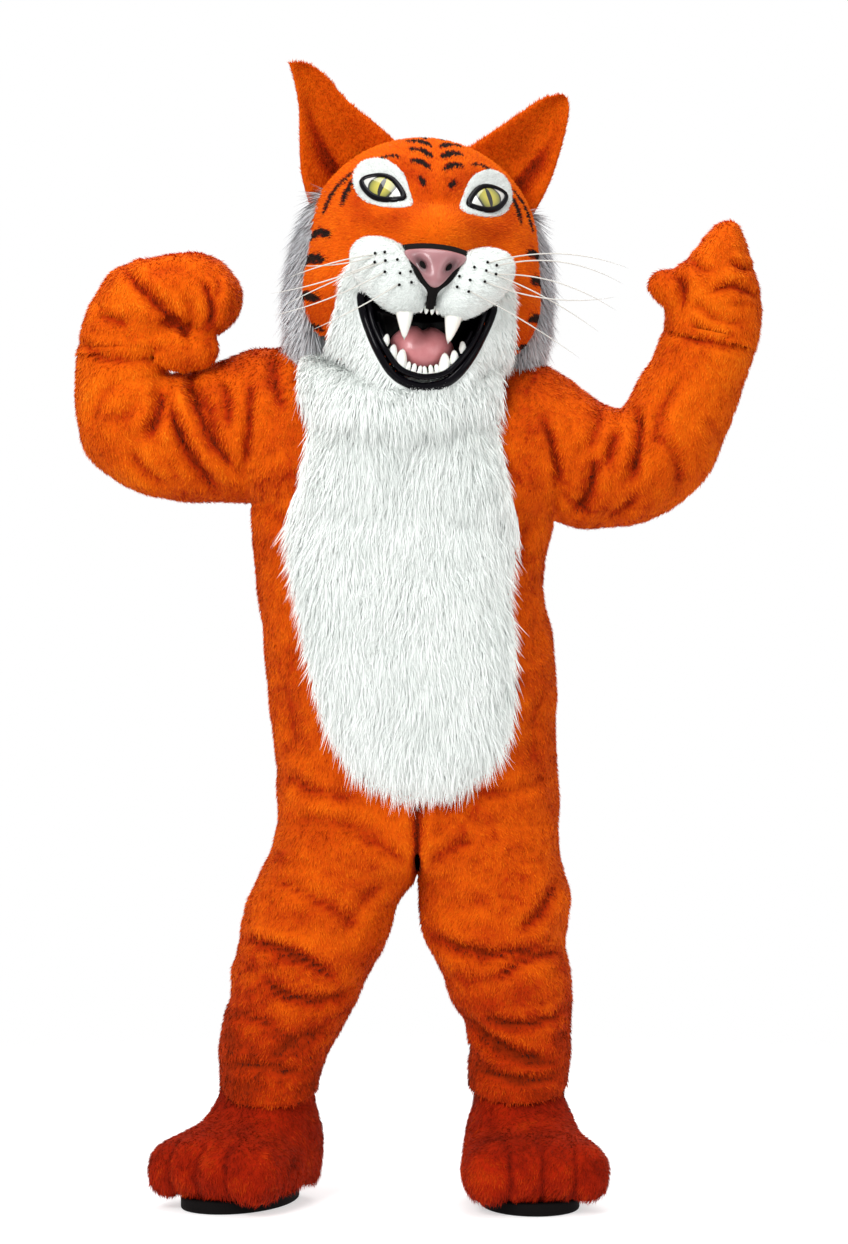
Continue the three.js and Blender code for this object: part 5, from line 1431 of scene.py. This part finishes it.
MOUTH = Outline((0, -150), both([
    (16, -234), (50, -218), (82, -174), (103, -122), (106, -84), (70, -92), (24, -100),
]))
JAW = Outline(MOUTH.centre, both([
    (20, -72), (50, -66), (76, -53), (66, -46), (53, -38), (45, -26), (41, -13), (33, -7), (14, -10),
]), seen=False)
EYE_PATCHES = {word: Outline((88, 98), [
    (40, 60), (76, 56), (120, 72), (138, 104), (130, 138), (98, 148), (62, 130), (46, 94),
], side) for word, side in SIDES.items()}
EYE_RIMS = {word: Outline((90, 94), [(56, 76), (84, 72), (110, 84), (122, 106), (98, 116), (74, 108)], side)
            for word, side in SIDES.items()}
NOSE = Outline((0, -38), both([(5, -72), (20, -58), (39, -36), (49, -19), (26, -14)]))
NOSE_EDGE = Outline((0, -38), both([(8, -108), (9, -86), (33, -64), (56, -40), (66, -13), (34, -5)]))
STRIPES = table("az1 el1 az2 el2 bow width", [
    (4, 44, 22, 50, 3, 13), (3, 54, 30, 61, 4, 16), (4, 66, 50, 71, 5, 17), (20, 80, 120, 82, 4, 14),
    (30, 51, 48, 46, 3, 11), (49, 45, 57, 18, 5, 14), (63, 40, 70, 14, 4, 15),
    (84, 0, 58, 3, -3, 16), (88, -14, 56, -10, -4, 18), (92, -28, 54, -25, -3, 16),
    (90, -38, 58, -38, -2, 12),
    (96, 50, 168, 54, 5, 20), (96, 28, 162, 34, -4, 22), (100, 8, 174, 12, 5, 22),
    (98, -12, 160, -12, -4, 20), (106, -28, 176, -27, 3, 16), (60, 84, 150, 72, 5, 18), (8, 32, 12, 39, 1, 9),
])


def stripe_depth(places):
    """How far inside a stripe each place is, in mm."""
    deepest = np.full(len(places), -99.0)
    for row in STRIPES:
        for side in SIDES.values():
            t = np.linspace(0, 1, 8)
            across, up = row["az2"] - row["az1"], row["el2"] - row["el1"]
            bend = row["bow"] * np.sin(math.pi * t) / math.hypot(across, up)
            azimuth, elevation = row["az1"] + across * t - up * bend, row["el1"] + up * t + across * bend
            line = head_skin(ahead_of(side * azimuth, elevation))
            for k in range(len(t) - 1):
                ahead = line[k + 1] - line[k]
                share = np.clip((places - line[k]) @ ahead / (ahead @ ahead), 0, 1)
                away = np.linalg.norm(places - line[k] - share[:, None] * ahead, axis=1)
                t_near = (k + share) / (len(t) - 1)
                half = row["width"] / 2 * np.clip(3.4 * t_near ** 0.8 * (1 - t_near) ** 0.6, 0, 1)
                deepest = np.maximum(deepest, half - away)
    return deepest + 1.3 * cloud(places, 9, 2.0)


def head_tone(places):
    base = 0.72 + 0.07 * cloud(places, 60, 4.0) + 0.05 * cloud(places, 16, 7.0)
    azimuth, elevation = bearings(places)
    # painted shade, darker on the lower half of the head; a painted highlight, lighter on the bridge of the snout
    below = 0.1 * step(-elevation, 5, 40) - 0.1 * bell(azimuth, 34) * bell(elevation - 16, 9)
    # painted shade in the hollows by the eyes
    hollow = 0.14 * bell(np.hypot((np.abs(azimuth) - 28) / 22, (elevation - 27) / 18) - 0.9, 0.35)
    stripe = step(stripe_depth(places), -0.6, 0.6)
    return mix(base - below - hollow, 0.02 * np.ones(len(places)), stripe)


MOUTH_BACK, MOUTH_MARGIN = -56, 7
MM_PER_DEGREE = 3  # on the head's skin, roughly


def above_neck(places):
    """Positive above the edge of the head's opening."""
    p = off_head(places)
    return p[:, 2] - np.interp(p[:, 1], [row["y"] for row in NECK_EDGE], [row["z"] for row in NECK_EDGE])


def clear_of_neck(places):
    """Positive above the neck's edge, and anywhere on the chin."""
    return np.where(off_head(places)[:, 1] < NECK_EDGE[0]["y"], FAR_OFF, above_neck(places))


def head_level(places):
    """Positive where the head's shell is: clear of the neck, and of the mouth pushed straight back."""
    x, y, z = off_head(places).T
    mouth = np.where(y < MOUTH_BACK, MOUTH.level(front_skin(x, z)) * MM_PER_DEGREE - MOUTH_MARGIN, FAR_OFF)
    return np.minimum(clear_of_neck(places), mouth)


head_plush = piece_of("head_plush", (ball_patch, 126, 84, head_skin))
trim(head_plush, head_level)
dress(head_plush, "orange", head_tone(places_of(head_plush)), 4, "head_shell")

# Mouth
GLOSS_BLACK = Finish("gloss_black", Base_Color=(0.002, 0.0015, 0.003, 1), Roughness=0.16,
                     Specular_IOR_Level=0.1, Coat_Weight=0.03)
GLOSS_BLACK.bump(GLOSS_BLACK.noise(24), 0.2, 0.002)
TOOTH = Finish("tooth_plastic", Roughness=0.18, Coat_Weight=0.4, Subsurface_Weight=0.1)
TOOTH.feed("Base Color", TOOTH.blend(TOOTH.noise(30), (0.9, 0.87, 0.78), (0.98, 0.97, 0.93)))
TONGUE = Finish("tongue_vinyl", Roughness=0.34, Coat_Weight=0.25)
TONGUE.feed("Base Color", TONGUE.blend(TONGUE.noise(55), (0.5, 0.14, 0.15), (0.68, 0.27, 0.28)))
TONGUE.bump(TONGUE.noise(320), 0.3, 0.001)


LINER = {"share": [0, 0.3, 0.6, 0.8, 1], "size": [1, 0.96, 0.88, 0.68, 0], "back": [0, 0.4, 0.8, 0.98, 1]}


def liner_place(u, v):
    """From the mouth's edge back into the head, closing behind the tongue."""
    edge = off_head(head_skin(ahead_of(*MOUTH.at(2 * math.pi * u)), -1))
    scale = np.interp(v, LINER["share"], LINER["size"])[:, None]
    back = np.interp(v, LINER["share"], LINER["back"])
    flat = points(0, mix(edge[:, 1], -66, back), -150)
    return on_head(flat + (edge - flat) * np.array([1, 0, 1]) * scale)


liner = piece_of("mouth_lining", (grid_patch, 64, 24, liner_place))
give(liner, GLOSS_BLACK.material, "gloss_black", "mouth_liner")
wall(liner, 2)
lip_line, lip_ridge = MOUTH.line(1, 1.2), MOUTH.line(-3, -2.6)
lip = piece_of("mouth_rim", tube(lip_line, lambda v: 7.5 + 2.5 * np.sin(2 * math.pi * v + 2.6) ** 2,
                                 lip_line - HEAD_CENTRE, sides=12, closed=True, flat=0.7),
               tube(lip_ridge, lambda v: 5 + 0 * v, lip_ridge - HEAD_CENTRE, sides=10, closed=True))
give(lip, GLOSS_BLACK.material, "gloss_black", "mouth_lip")


def tongue_place(directions):
    x, y, z = directions.T
    groove = 9 * np.exp(-(x / 0.16) ** 2) * np.maximum(z, 0)
    return on_head(points(58 * x, -118 + 56 * y, -177 + 47 * z - groove))


give(piece_of("tongue_shape", (ball_patch, 40, 26, tongue_place)), TONGUE.material, "tongue_vinyl", "tongue")


def tooth(root, tip, radius, bow, blunt):
    """A tooth from root to tip, bowed forwards."""
    t = np.linspace(0, 1, 9)[:, None]
    path = mix(np.array(root, float), np.array(tip, float), t) + np.array([0, -bow, 0]) * np.sin(math.pi * t)
    return tube(on_head(path), lambda v: radius * (1 - v ** 1.6) ** blunt, (0, -1, 0), sides=12)


fangs = [tooth((side * 44, -204, -96), (side * 37, -198, -166), 18, 9, 0.8) for side in SIDES.values()]
uppers = [tooth((x, -208, -100), (x * 1.02, -206, -121 + abs(x) * 0.12), 5.4, 2, 0.5)
          for x in (-24, -14, -5, 5, 14, 24)]
LOWER_TEETH = table("turn radius long", [
    (18, 7.5, 14), (31, 9, 17), (47, 12, 27), (60, 7, 13), (71, 7, 14), (83, 7, 13),
])
lowers = []
for row in LOWER_TEETH:
    for side in SIDES.values():
        angle = math.radians(-90 + side * (90 - row["turn"]))
        root = off_head(head_skin(ahead_of(*MOUTH.at(np.array([angle]), 0.92)), -18))[0]
        lowers.append(tooth(root + [0, 0, -6], root + [-side * 3, 0, row["long"]], row["radius"], 2, 0.55))
gum_turns = np.linspace(math.radians(-175), math.radians(-5), 40)
gum_line = head_skin(ahead_of(*MOUTH.at(gum_turns, 0.94)), -22)
gum = piece_of("gum", tube(gum_line, lambda v: 10 * np.sin(math.pi * np.clip(v, 0.02, 0.98)) ** 0.3,
                           (0, -1, 0), sides=12))
give(gum, GLOSS_BLACK.material, "gloss_black")
for name, teeth, nodes in (("fangs", fangs, ["fang_right", "fang_left"]),
                           ("teeth_above", uppers, ["upper_teeth"]),
                           ("teeth_below", lowers, ["lower_teeth"])):
    give(piece_of(name, *teeth), TOOTH.material, "tooth_plastic", *nodes)

# Muzzle and nose
BLACK_CLOTH = Finish("black_cloth", Base_Color=(0.006, 0.005, 0.005, 1), Roughness=0.9,
                     Specular_IOR_Level=0.1)
PAD = {"x": 74, "y": -200, "z": -55, "out": 74, "in": 84, "deep": 52, "short": 50, "tilt": 36}


def pad_place(side):
    c, s = math.cos(math.radians(PAD["tilt"])), math.sin(math.radians(PAD["tilt"]))

    def place(directions):
        x = power(directions[:, 0], 2.4) * np.where(directions[:, 0] < 0, PAD["in"], PAD["out"])
        y = directions[:, 1] * PAD["deep"] + np.where(x < 0, 0.08, 0.1) * x
        z = directions[:, 2] * PAD["short"] * (1 - 0.16 * directions[:, 0])
        return on_head(points(side * (PAD["x"] + x * c - z * s), PAD["y"] + y, PAD["z"] + x * s + z * c))
    return place


def pad_tone(places):
    return 0.8 + 0.05 * cloud(places, 22, 3.0) + 0.05 * cloud(places, 6, 5.0)


pads = {}
for word, side in SIDES.items():
    pads[word] = piece_of(f"muzzle_{word}", (ball_patch, 64, 40, pad_place(side)))
    # painted shade under the pile: the ground is set darker than its pile
    dress(pads[word], "white", pad_tone(places_of(pads[word])) - 0.05, 0, f"muzzle_pad_{word}")

DOTS = [(0.28, 0.3), (0.02, 0.36), (-0.24, 0.34), (0.42, 0.06), (0.16, 0.08), (-0.12, 0.08), (-0.38, 0.1),
        (0.3, -0.18), (0.04, -0.2), (-0.24, -0.2)]
DOT_LIFT, DOT_SIZE = 1.068, 2.6


def pad_spot(side, across, up, lift=1.0):
    """A place on a muzzle pad, or as many times further from its middle as lift says."""
    direction = np.array([[across, -math.sqrt(1 - across ** 2 - up ** 2), up]])
    return pad_place(side)(direction * lift)[0]


dots = []
for side in SIDES.values():
    for across, up in DOTS:
        spot = pad_spot(side, across, up, DOT_LIFT)
        dots.append((ball_patch, 10, 6, lambda directions, spot=spot: spot + directions * DOT_SIZE))
give(piece_of("muzzle_dots", *dots), BLACK_CLOTH.material, "gloss_black")

NOSE_VINYL = Finish("nose_vinyl", Roughness=0.36, Coat_Weight=0.3)
NOSE_VINYL.feed("Base Color", NOSE_VINYL.ramp([
    (0.0, (0.012, 0.004, 0.005)), (0.4, (0.1, 0.036, 0.042)), (0.75, (0.3, 0.13, 0.14)),
    (1.0, (0.44, 0.21, 0.22)),
], NOSE_VINYL.stored("tone") + (NOSE_VINYL.noise(60) - 0.5) * 0.1))


def nostril(places):
    """1 in the middle of each nostril, which slants up and out."""
    x, _, z = off_head(places).T
    out = np.abs(x) - 26
    return np.exp(-(out / 12) ** 2 - ((z + 42 - 0.6 * out) / 12) ** 2)


def nose_out(v):
    return 20 + 16 * (1 - v ** 2.4) ** 0.6


surround = piece_of("nose_surround", face_patch(NOSE_EDGE, lambda v: 4 + 20 * (1 - v ** 4), 14))
give(surround, BLACK_CLOTH.material, "gloss_black")
nose = piece_of("nose_shape", face_patch(NOSE, nose_out, 26, across=80))
push(nose, lambda places, normals: -12 * nostril(places))
nose_places = places_of(nose)
set_tone(nose, 0.86 + 0.1 * cloud(nose_places, 20, 1.0) - 0.6 * nostril(nose_places))
give(nose, NOSE_VINYL.material, "nose_vinyl", "nose")

# Eyes
EYE = Finish("eye_plastic", Roughness=0.05, Coat_Weight=1.0, Coat_Roughness=0.03)
EYE_SPAN = 8.4  # degrees from the middle of the eye to the white
eye_across, eye_up = EYE.stored("across"), EYE.stored("up")
# The white round the iris is painted grey: painted shade.
iris = EYE.ramp([
    (0.0, (0.55, 0.47, 0.06)), (0.45, (0.42, 0.37, 0.05)), (0.78, (0.2, 0.2, 0.03)),
    (0.88, (0.02, 0.02, 0.01)), (0.96, (0.02, 0.02, 0.01)), (1.0, (0.6, 0.6, 0.56)),
], eye_across.length(eye_up) * 0.9)
slit = (eye_across * eye_across * 26 + eye_up * eye_up * 1.9).above(1.0)
EYE.feed("Base Color", EYE.blend(slit, (0.004, 0.004, 0.004), iris))


def eye_ground_tone(places):
    return 0.6 + 0.06 * cloud(places, 14, 3.0) + 0.05 * cloud(places, 5, 5.0)


eye_grounds = {}
for word in SIDES:
    patch = piece_of(f"eye_ground_{word}", face_patch(EYE_PATCHES[word], lambda v: 4.0 - 3 * v ** 6, 16))
    # painted shade under the pile: the ground is set darker than its pile
    tone = eye_ground_tone(places_of(patch)) - 0.05
    eye_grounds[word] = dress(patch, "white", tone, 2, f"eye_patch_{word}")
    edge = EYE_RIMS[word]
    rim_line = edge.line(6, 0.5)
    rim = piece_of(f"eye_edge_{word}", tube(rim_line, lambda v: 5.6 + 0 * v, rim_line - HEAD_CENTRE, sides=10,
                                            closed=True, flat=0.8))
    give(rim, GLOSS_BLACK.material, "gloss_black", f"eye_rim_{word}")
    eye = piece_of(f"eye_shape_{word}", face_patch(edge, lambda v: 4 + 11 * np.sqrt(1 - v ** 2), 24))
    for name, angle, middle in zip(("across", "up"), bearings(places_of(eye)), edge.centre):
        set_number(eye, name, (angle - middle) / EYE_SPAN)
    give(eye, EYE.material, "eye_plastic", f"eye_{word}")


# Jaw
def cleft(places):
    """1 between the pads, from the nose to the lip."""
    azimuth, elevation = bearings(places)
    return step(14 - np.abs(azimuth), 0, 3) * step(elevation, -33, -28)


def jaw_tone(places):
    return 0.9 + 0.07 * cloud(places, np.array([20, 20, 50]), 1.0) - 0.26 * cleft(places)


jaw = piece_of("jaw_ground", face_patch(JAW, lambda v: 2 + 8 * np.sin(math.pi * np.clip(v, 0, 1)) ** 0.5, 24,
                                        across=120, inner=MOUTH, inner_grow=2))
trim(jaw, clear_of_neck)
# painted shade under the fur: the ground is set darker than its fur
dress(jaw, "white", jaw_tone(places_of(jaw)) - 0.08, 2, "jaw_fur")

# Ears
EARS = {
    "right": table("out_x out_z in_x in_z", [
        (-198, 62, -60, 198), (-222, 126, -100, 227), (-231, 188, -134, 247), (-237, 240, -166, 271),
        (-248, 280, -193, 297), (-257, 303, -220, 312), (-262, 312, -244, 316),
    ]),
    "left": table("out_x out_z in_x in_z", [
        (186, 84, 62, 198), (213, 148, 98, 227), (227, 205, 128, 251), (234, 250, 156, 274),
        (236, 281, 183, 295), (232, 298, 206, 305), (226, 305, 216, 307),
    ]),
}
EAR = {"cup": 40, "thick": 9, "back": 26, "forward": 30}


def ear_depth(u, v):
    """How far back the middle of an ear lies: cupped at its foot, tipping forward."""
    hollow = EAR["cup"] * np.sin(math.pi * u) ** 1.3 * (1 - v) ** 0.8
    return EAR["back"] - EAR["forward"] * v + hollow


def ear_place(word, front):
    """The front or back face of an ear; across it u runs from the outer edge."""
    side = SIDES[word]

    def place(u, v):
        row = along(EARS[word], v)
        flat = points(mix(row["out_x"], row["in_x"], u), 0 * u, mix(row["out_z"], row["in_z"], u))
        thick = EAR["thick"] * ((1 - (2 * u - 1) ** 4) * (1 - v ** 6)) ** 0.5
        flat[:, 1] = ear_depth(u, v) + (-1 if front else 1) * thick
        flat[:, 0] += side * 6 * np.sin(math.pi * u) * np.sin(math.pi * v)
        return on_head(flat)
    return place


def ear_tone(word):
    def tone(places):
        x, y, z = off_head(places).T
        v = np.clip((z - 110) / 200, 0, 1)
        row = along(EARS[word], v)
        u = np.clip((x - row["out_x"]) / (row["in_x"] - row["out_x"]), 0, 1)
        inside = step(ear_depth(u, v) - y, -2, 6)
        inner = inside * step(u, 0.1, 0.45) * step(1 - u, 0.02, 0.3) * step(1 - v, 0.2, 0.7)
        return 0.72 - 0.4 * inner + 0.08 * cloud(places, 40, 2.0)
    return tone


ears = {}
for word in SIDES:
    faces = [(grid_patch, 30, 34, ear_place(word, front)) for front in (True, False)]
    ears[word] = piece_of(f"ear_{word}_plush", *faces)
    dress(ears[word], "orange", ear_tone(word)(places_of(ears[word])), 0, f"ear_{word}")

# Ruff
RUFF = table(ROUND, [
    (156, 96, 184, 90, 14, 14), (164, 50, 206, 40, 10, 30), (168, -10, 218, -20, 6, 42),
    (168, -80, 222, -86, 2, 46),
    (162, -150, 216, -150, -2, 44), (150, -204, 202, -202, -4, 36), (140, -232, 182, -228, -6, 22),
])
RUFF_TIP = np.array([158.0, -6, -240])


def ruff_tone(places):
    elevation = bearings(places)[1]
    return 0.74 + 0.16 * cloud(places, np.array([16, 16, 70]), 5.0) + 0.22 * step(-elevation, 5, 40)


ruffs = {}
for word, side in SIDES.items():
    def ring(row, angle, mirror=np.array([side, 1, 1])):
        return on_head(section(row, angle) * mirror)
    ruffs[word] = piece_of(f"ruff_{word}_ground", bag(RUFF, on_head(RUFF_TIP * [side, 1, 1]), ring, 32, 30))
    # painted shade under the fur: the ground is set darker than its fur
    dress(ruffs[word], "grey", ruff_tone(places_of(ruffs[word])) - 0.15, 0, f"ruff_{word}")

# Throat
THROAT = table("side drop front", [
    (160, 0, 124), (174, 18, 178), (174, 56, 196), (156, 100, 174), (112, 140, 146), (60, 160, 128),
])
THROAT_TOP, THROAT_SHIFT = 1420, -34


def throat_place(u, v):
    """Hangs from under the chin over the top of the bib."""
    row = along(THROAT, v)
    across = 2 * u - 1
    x = across * row["side"] + THROAT_SHIFT
    height = THROAT_TOP + (46 * np.abs(across) + 14 * across ** 2) * (1 - v) - row["drop"]
    return points(x, -row["front"] + 70 * np.abs(across) ** 2.2, height)


throat = piece_of("throat_ground", (grid_patch, 44, 28, throat_place))
# painted shade under the fur: the ground is set darker than its fur
dress(throat, "white", white_tone(places_of(throat)) - 0.1, 2, "throat_fur")

# Whiskers
NYLON = Finish("whisker_nylon", Base_Color=(0.62, 0.6, 0.55, 1), Roughness=0.3)
WHISKER_RADIUS = 1.15
WHISKERS = table("side across up tip_x tip_z sag", [
    (-1, 0.42, 0.06, -246, -84, 10), (-1, 0.3, -0.18, -272, -112, -14), (-1, 0.04, -0.2, -264, -148, -18),
    (-1, 0.28, 0.3, -226, -60, -16), (-1, -0.24, -0.2, -196, -166, -8), (-1, 0.16, 0.08, -250, -132, 8),
    (1, 0.42, 0.06, 326, -38, 44), (1, 0.3, -0.18, 318, -84, 34), (1, 0.04, -0.2, 314, -60, -34),
    (1, 0.16, 0.08, 290, -122, 16), (1, -0.24, -0.2, 262, -170, 8), (1, 0.28, 0.3, 332, -10, 40),
])
threads = []
for row in WHISKERS:
    root = off_head(pad_spot(row["side"], row["across"], row["up"])[None])[0]
    tip = np.array([row["tip_x"], -214, row["tip_z"]])
    bend = (root + tip) / 2 + np.array([0, -14, row["sag"]])
    t = np.linspace(0, 1, 15)[:, None]
    path = root * (1 - t) ** 2 + bend * 2 * t * (1 - t) + tip * t ** 2
    threads.append(tube(on_head(path), lambda v: WHISKER_RADIUS * (1 - v ** 3) ** 0.7, (0, -1, 0), sides=6))
give(piece_of("whiskers", *threads), NYLON.material, "whisker_nylon",
     *[f"whisker_{word}_{k}" for word in SIDES for k in range(1, 6)])


# ---- fur on the head ----
def from_nose(places):
    p = places - on_head(np.array([0.0, -230, 0]))
    return unit(p) + points(0.4 * cloud(places, 60, 2.0), 0, -0.25)


def bare_face(places):
    """1 where the head's orange pile grows."""
    zones = [EYE_PATCHES["right"], EYE_PATCHES["left"], NOSE_EDGE]
    clear = np.min([zone.level(places) for zone in zones], axis=0) > -0.5
    chin = (JAW.level(places) > -2) | (np.abs(bearings(places)[0]) > 75)
    return (clear & chin) * 1.0


def off_mouth(places):
    x = off_head(places)[:, 0]
    return points(0.7 * np.sign(x) * np.minimum(1, np.abs(x) / 60), 0.1, -1)


def jaw_length(places):
    return 9 + 18 * step(MOUTH.level(places), 2, 18) + 26 * step(-off_head(places)[:, 2], 190, 240)


def throat_length(places):
    """Shorter where the throat meets the lip."""
    return 50 + 8 * cloud(places, 30, 2.0) - 30 * step(places[:, 2], 1385, 1410)


def ruff_length(places):
    return 44 + 10 * cloud(places, 30, 2.0)


def clear_of_lip(places):
    """1 where the white jaw fur grows: off the lip, the nose and the cleft between the pads."""
    azimuth, elevation = bearings(places)
    below = (elevation < -9) & ((np.abs(azimuth) > 12) | (elevation < -28))
    return ((NOSE_EDGE.level(places) > 2) & (MOUTH.level(places) > 3) & below) * 1.0


def cleft_only(places):
    return cleft(places) * (NOSE_EDGE.level(places) > 0.5)


pile("head_pile", head_plush, "orange", 51, 17, 7, 2.4, 66, from_nose, head_tone, keep=bare_face)
pile("jaw_pile", jaw, "white", 52, 22, jaw_length, 2.4, 66, off_mouth, jaw_tone,
     steps=3, droop=0.2, wave=1.5, clump=11, gather=0.5, keep=clear_of_lip)
pile("cleft_pile", jaw, "white", 58, 30, 6, 2, 66, off_mouth, jaw_tone, keep=cleft_only)
for word, side in SIDES.items():
    def outwards(places, side=side):
        return points(side + 0 * places[:, 0], 0, -0.5)

    def upwards(places):
        return points(0.3 * cloud(places, 50, 2.0), 0, 1)

    def down_and_out(places, side=side):
        return points(0.4 * side + 0 * places[:, 0], 0.1, -1)

    def off_eye(places, word=word):
        return (EYE_RIMS[word].level(places) > 1) * 1.0

    pile(f"muzzle_{word}_pile", pads[word], "white", 53, 30, 7, 2, 66, outwards, pad_tone)
    pile(f"eye_{word}_pile", eye_grounds[word], "white", 54, 34, 5, 1.8, 66, from_nose, eye_ground_tone,
         keep=off_eye)
    pile(f"ear_{word}_pile", ears[word], "orange", 55, 18, 8, 2.2, 62, upwards, ear_tone(word))
    pile(f"ruff_{word}_fur", ruffs[word], "grey", 56, 14, ruff_length, 2.4, 66, down_and_out, ruff_tone,
         steps=3, droop=0.15, wave=2.5, clump=14, gather=0.5)
pile("throat_fur_long", throat, "white", 57, 18, throat_length, 2.1, 68, down, white_tone,
     steps=3, droop=0.12, wave=2.0, clump=17, gather=0.45)


# ---- the short pile of the jumpsuit, mitts and boots ----
def nap(places):
    """Brushed down, with swirls where hands and folds have turned it."""
    turn = 0.9 * cloud(places, 80, 8.0) + 0.5 * cloud(places, 26, 1.0)
    return points(turn, 0.25 * turn, -1)


def boot_length(places):
    """Longer round the bottom edge."""
    return 9 + 4 * step(56 - places[:, 2], 0, 26)


def off_the_sole(places):
    return (places[:, 2] > 24) * 1.0


for part, seed in (("a", 21), ("b", 22)):
    pile(f"suit_pile_{part}", jumpsuit, "orange", seed, 4.2, 9, 2.6, 64, nap, plush_tone(FOLDS))
pile("fly_pile", fly, "orange", 23, 9, 9, 2.4, 64, nap, plush_tone(FOLDS))
for side, mitt in mitts.items():
    pile(f"mitt_{side}_pile", mitt, "orange", 31, 10, 9, 2.4, 64, nap, plush_tone(MITT_FOLDS[side]))
for side, boot in boots.items():
    pile(f"boot_{side}_pile", boot, "rust", 41, 10, boot_length, 2.4, 64, nap, boot_tone(side),
         droop=0.1, keep=off_the_sole)


# ---- what each cloth was cut to, in metres, and what is stuffed ----
CUTS = [
    (jumpsuit, (1.5, 1.75), 2.28, "hung", []),
    (mitts["right"], (0.5, 0.38), 0.15, "hung", ["jumpsuit"]),
    (mitts["left"], (0.42, 0.3), 0.098, "hung", ["jumpsuit"]),
    (boots["right"], (0.62, 0.4), 0.206, "stretched", ["sole_right_rubber"]),
    (boots["left"], (0.62, 0.4), 0.206, "stretched", ["sole_left_rubber"]),
    (bib, (0.41, 0.72), 0.237, "laid", ["jumpsuit"]),
    (fly, (0.062, 0.87), None, "laid", ["jumpsuit"]),
    (head_plush, (1.0, 0.6), 0.473, "stretched", []),
    (jaw, (0.32, 0.26), 0.0453, "stretched", ["head_plush"]),
    (throat, (0.44, 0.27), 0.09, "hung", ["head_plush"]),
    (eye_grounds["right"], (0.13, 0.12), 0.0103, "stretched", ["head_plush"]),
    (eye_grounds["left"], (0.13, 0.12), 0.0103, "stretched", ["head_plush"]),
]
for piece, flat, area, held, rests_on in CUTS:
    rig.sheet(piece, flat=flat, held=held, rests_on=rests_on, area=area, with_pieces=FUR_ON[piece.name])
for word in SIDES:
    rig.padded(pads[word], fill=0.9)
    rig.padded(ears[word], fill=0.7)
    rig.padded(ruffs[word], fill=0.4)


# ---- stage: floor, light and camera ----
def floor():
    """A pale floor that shows shadows near the feet and fades out further off."""
    bm = bmesh.new()
    bmesh.ops.create_grid(bm, x_segments=1, y_segments=1, size=8)
    bmesh.ops.translate(bm, verts=bm.verts, vec=(0, 0, FLOOR - 0.0005))
    mesh = bpy.data.meshes.new("floor")
    bm.to_mesh(mesh)
    bm.free()
    finish = Finish("floor_pale", Base_Color=(0.6, 0.6, 0.6, 1), Roughness=0.9, Emission_Color=(1, 1, 1, 1),
                    Emission_Strength=0.56)
    x, y = finish.parts(finish.object_place())
    smooth_step = {"interpolation_type": "SMOOTHSTEP"}
    finish.feed("Alpha", finish.node("ShaderNodeMapRange", smooth_step, x.length(y), 0.9, 2.4, 1.0, 0.0))
    mesh.materials.append(finish.material)
    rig.stage(link("floor", mesh))


LAMP_TARGET = Vector((0, 0, FLOOR + 1.1))


def lamp(name, place, size, watts):
    light = bpy.data.lights.new(name, "AREA")
    light.size = size
    light.energy = watts
    holder = link(name, light)
    holder.location = place
    holder.rotation_euler = (LAMP_TARGET - Vector(place)).to_track_quat("-Z", "Y").to_euler()


def camera():
    """Straight in front; tall is the height seen at the costume."""
    middle, distance, height, tall = 0.007, 6.0, 1.005, 2.177
    view = bpy.data.cameras.new("camera")
    view.sensor_fit = "VERTICAL"
    view.sensor_height = 24
    view.lens = view.sensor_height * distance / tall
    holder = link("camera", view)
    holder.location = (middle, -distance, FLOOR + height)
    holder.rotation_euler = (math.pi / 2, 0, 0)
    bpy.context.scene.camera = holder


floor()
lamp("key", (-2.2, -3.6, FLOOR + 3.4), 2.0, 152)
lamp("fill", (3.0, -3.2, FLOOR + 1.8), 2.6, 36)
lamp("back", (0.6, 3.4, FLOOR + 3.2), 2.4, 80)
lamp("top", (0, -0.4, FLOOR + 4.2), 2.2, 46)


def studio_world():
    """Pure white behind, a softer light on the costume."""
    world = bpy.data.worlds.new("studio")
    studio = Nodes(world)
    seen = studio.node("ShaderNodeLightPath", {})
    strength = studio.node("ShaderNodeMapRange", {}, seen, None, None, 0.62, 1.0)
    background = studio.tree.nodes["Background"]
    background.inputs["Color"].default_value = (1, 1, 1, 1)
    studio.tree.links.new(strength.socket, background.inputs["Strength"])
    bpy.context.scene.world = world


studio_world()
bpy.context.scene.view_settings.view_transform = "Standard"
camera()

visual_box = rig.bounds()
with open("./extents.json", "w") as file:
    json.dump({"cad": [list(c) for c in cad_box], "visual": [list(c) for c in visual_box]}, file)
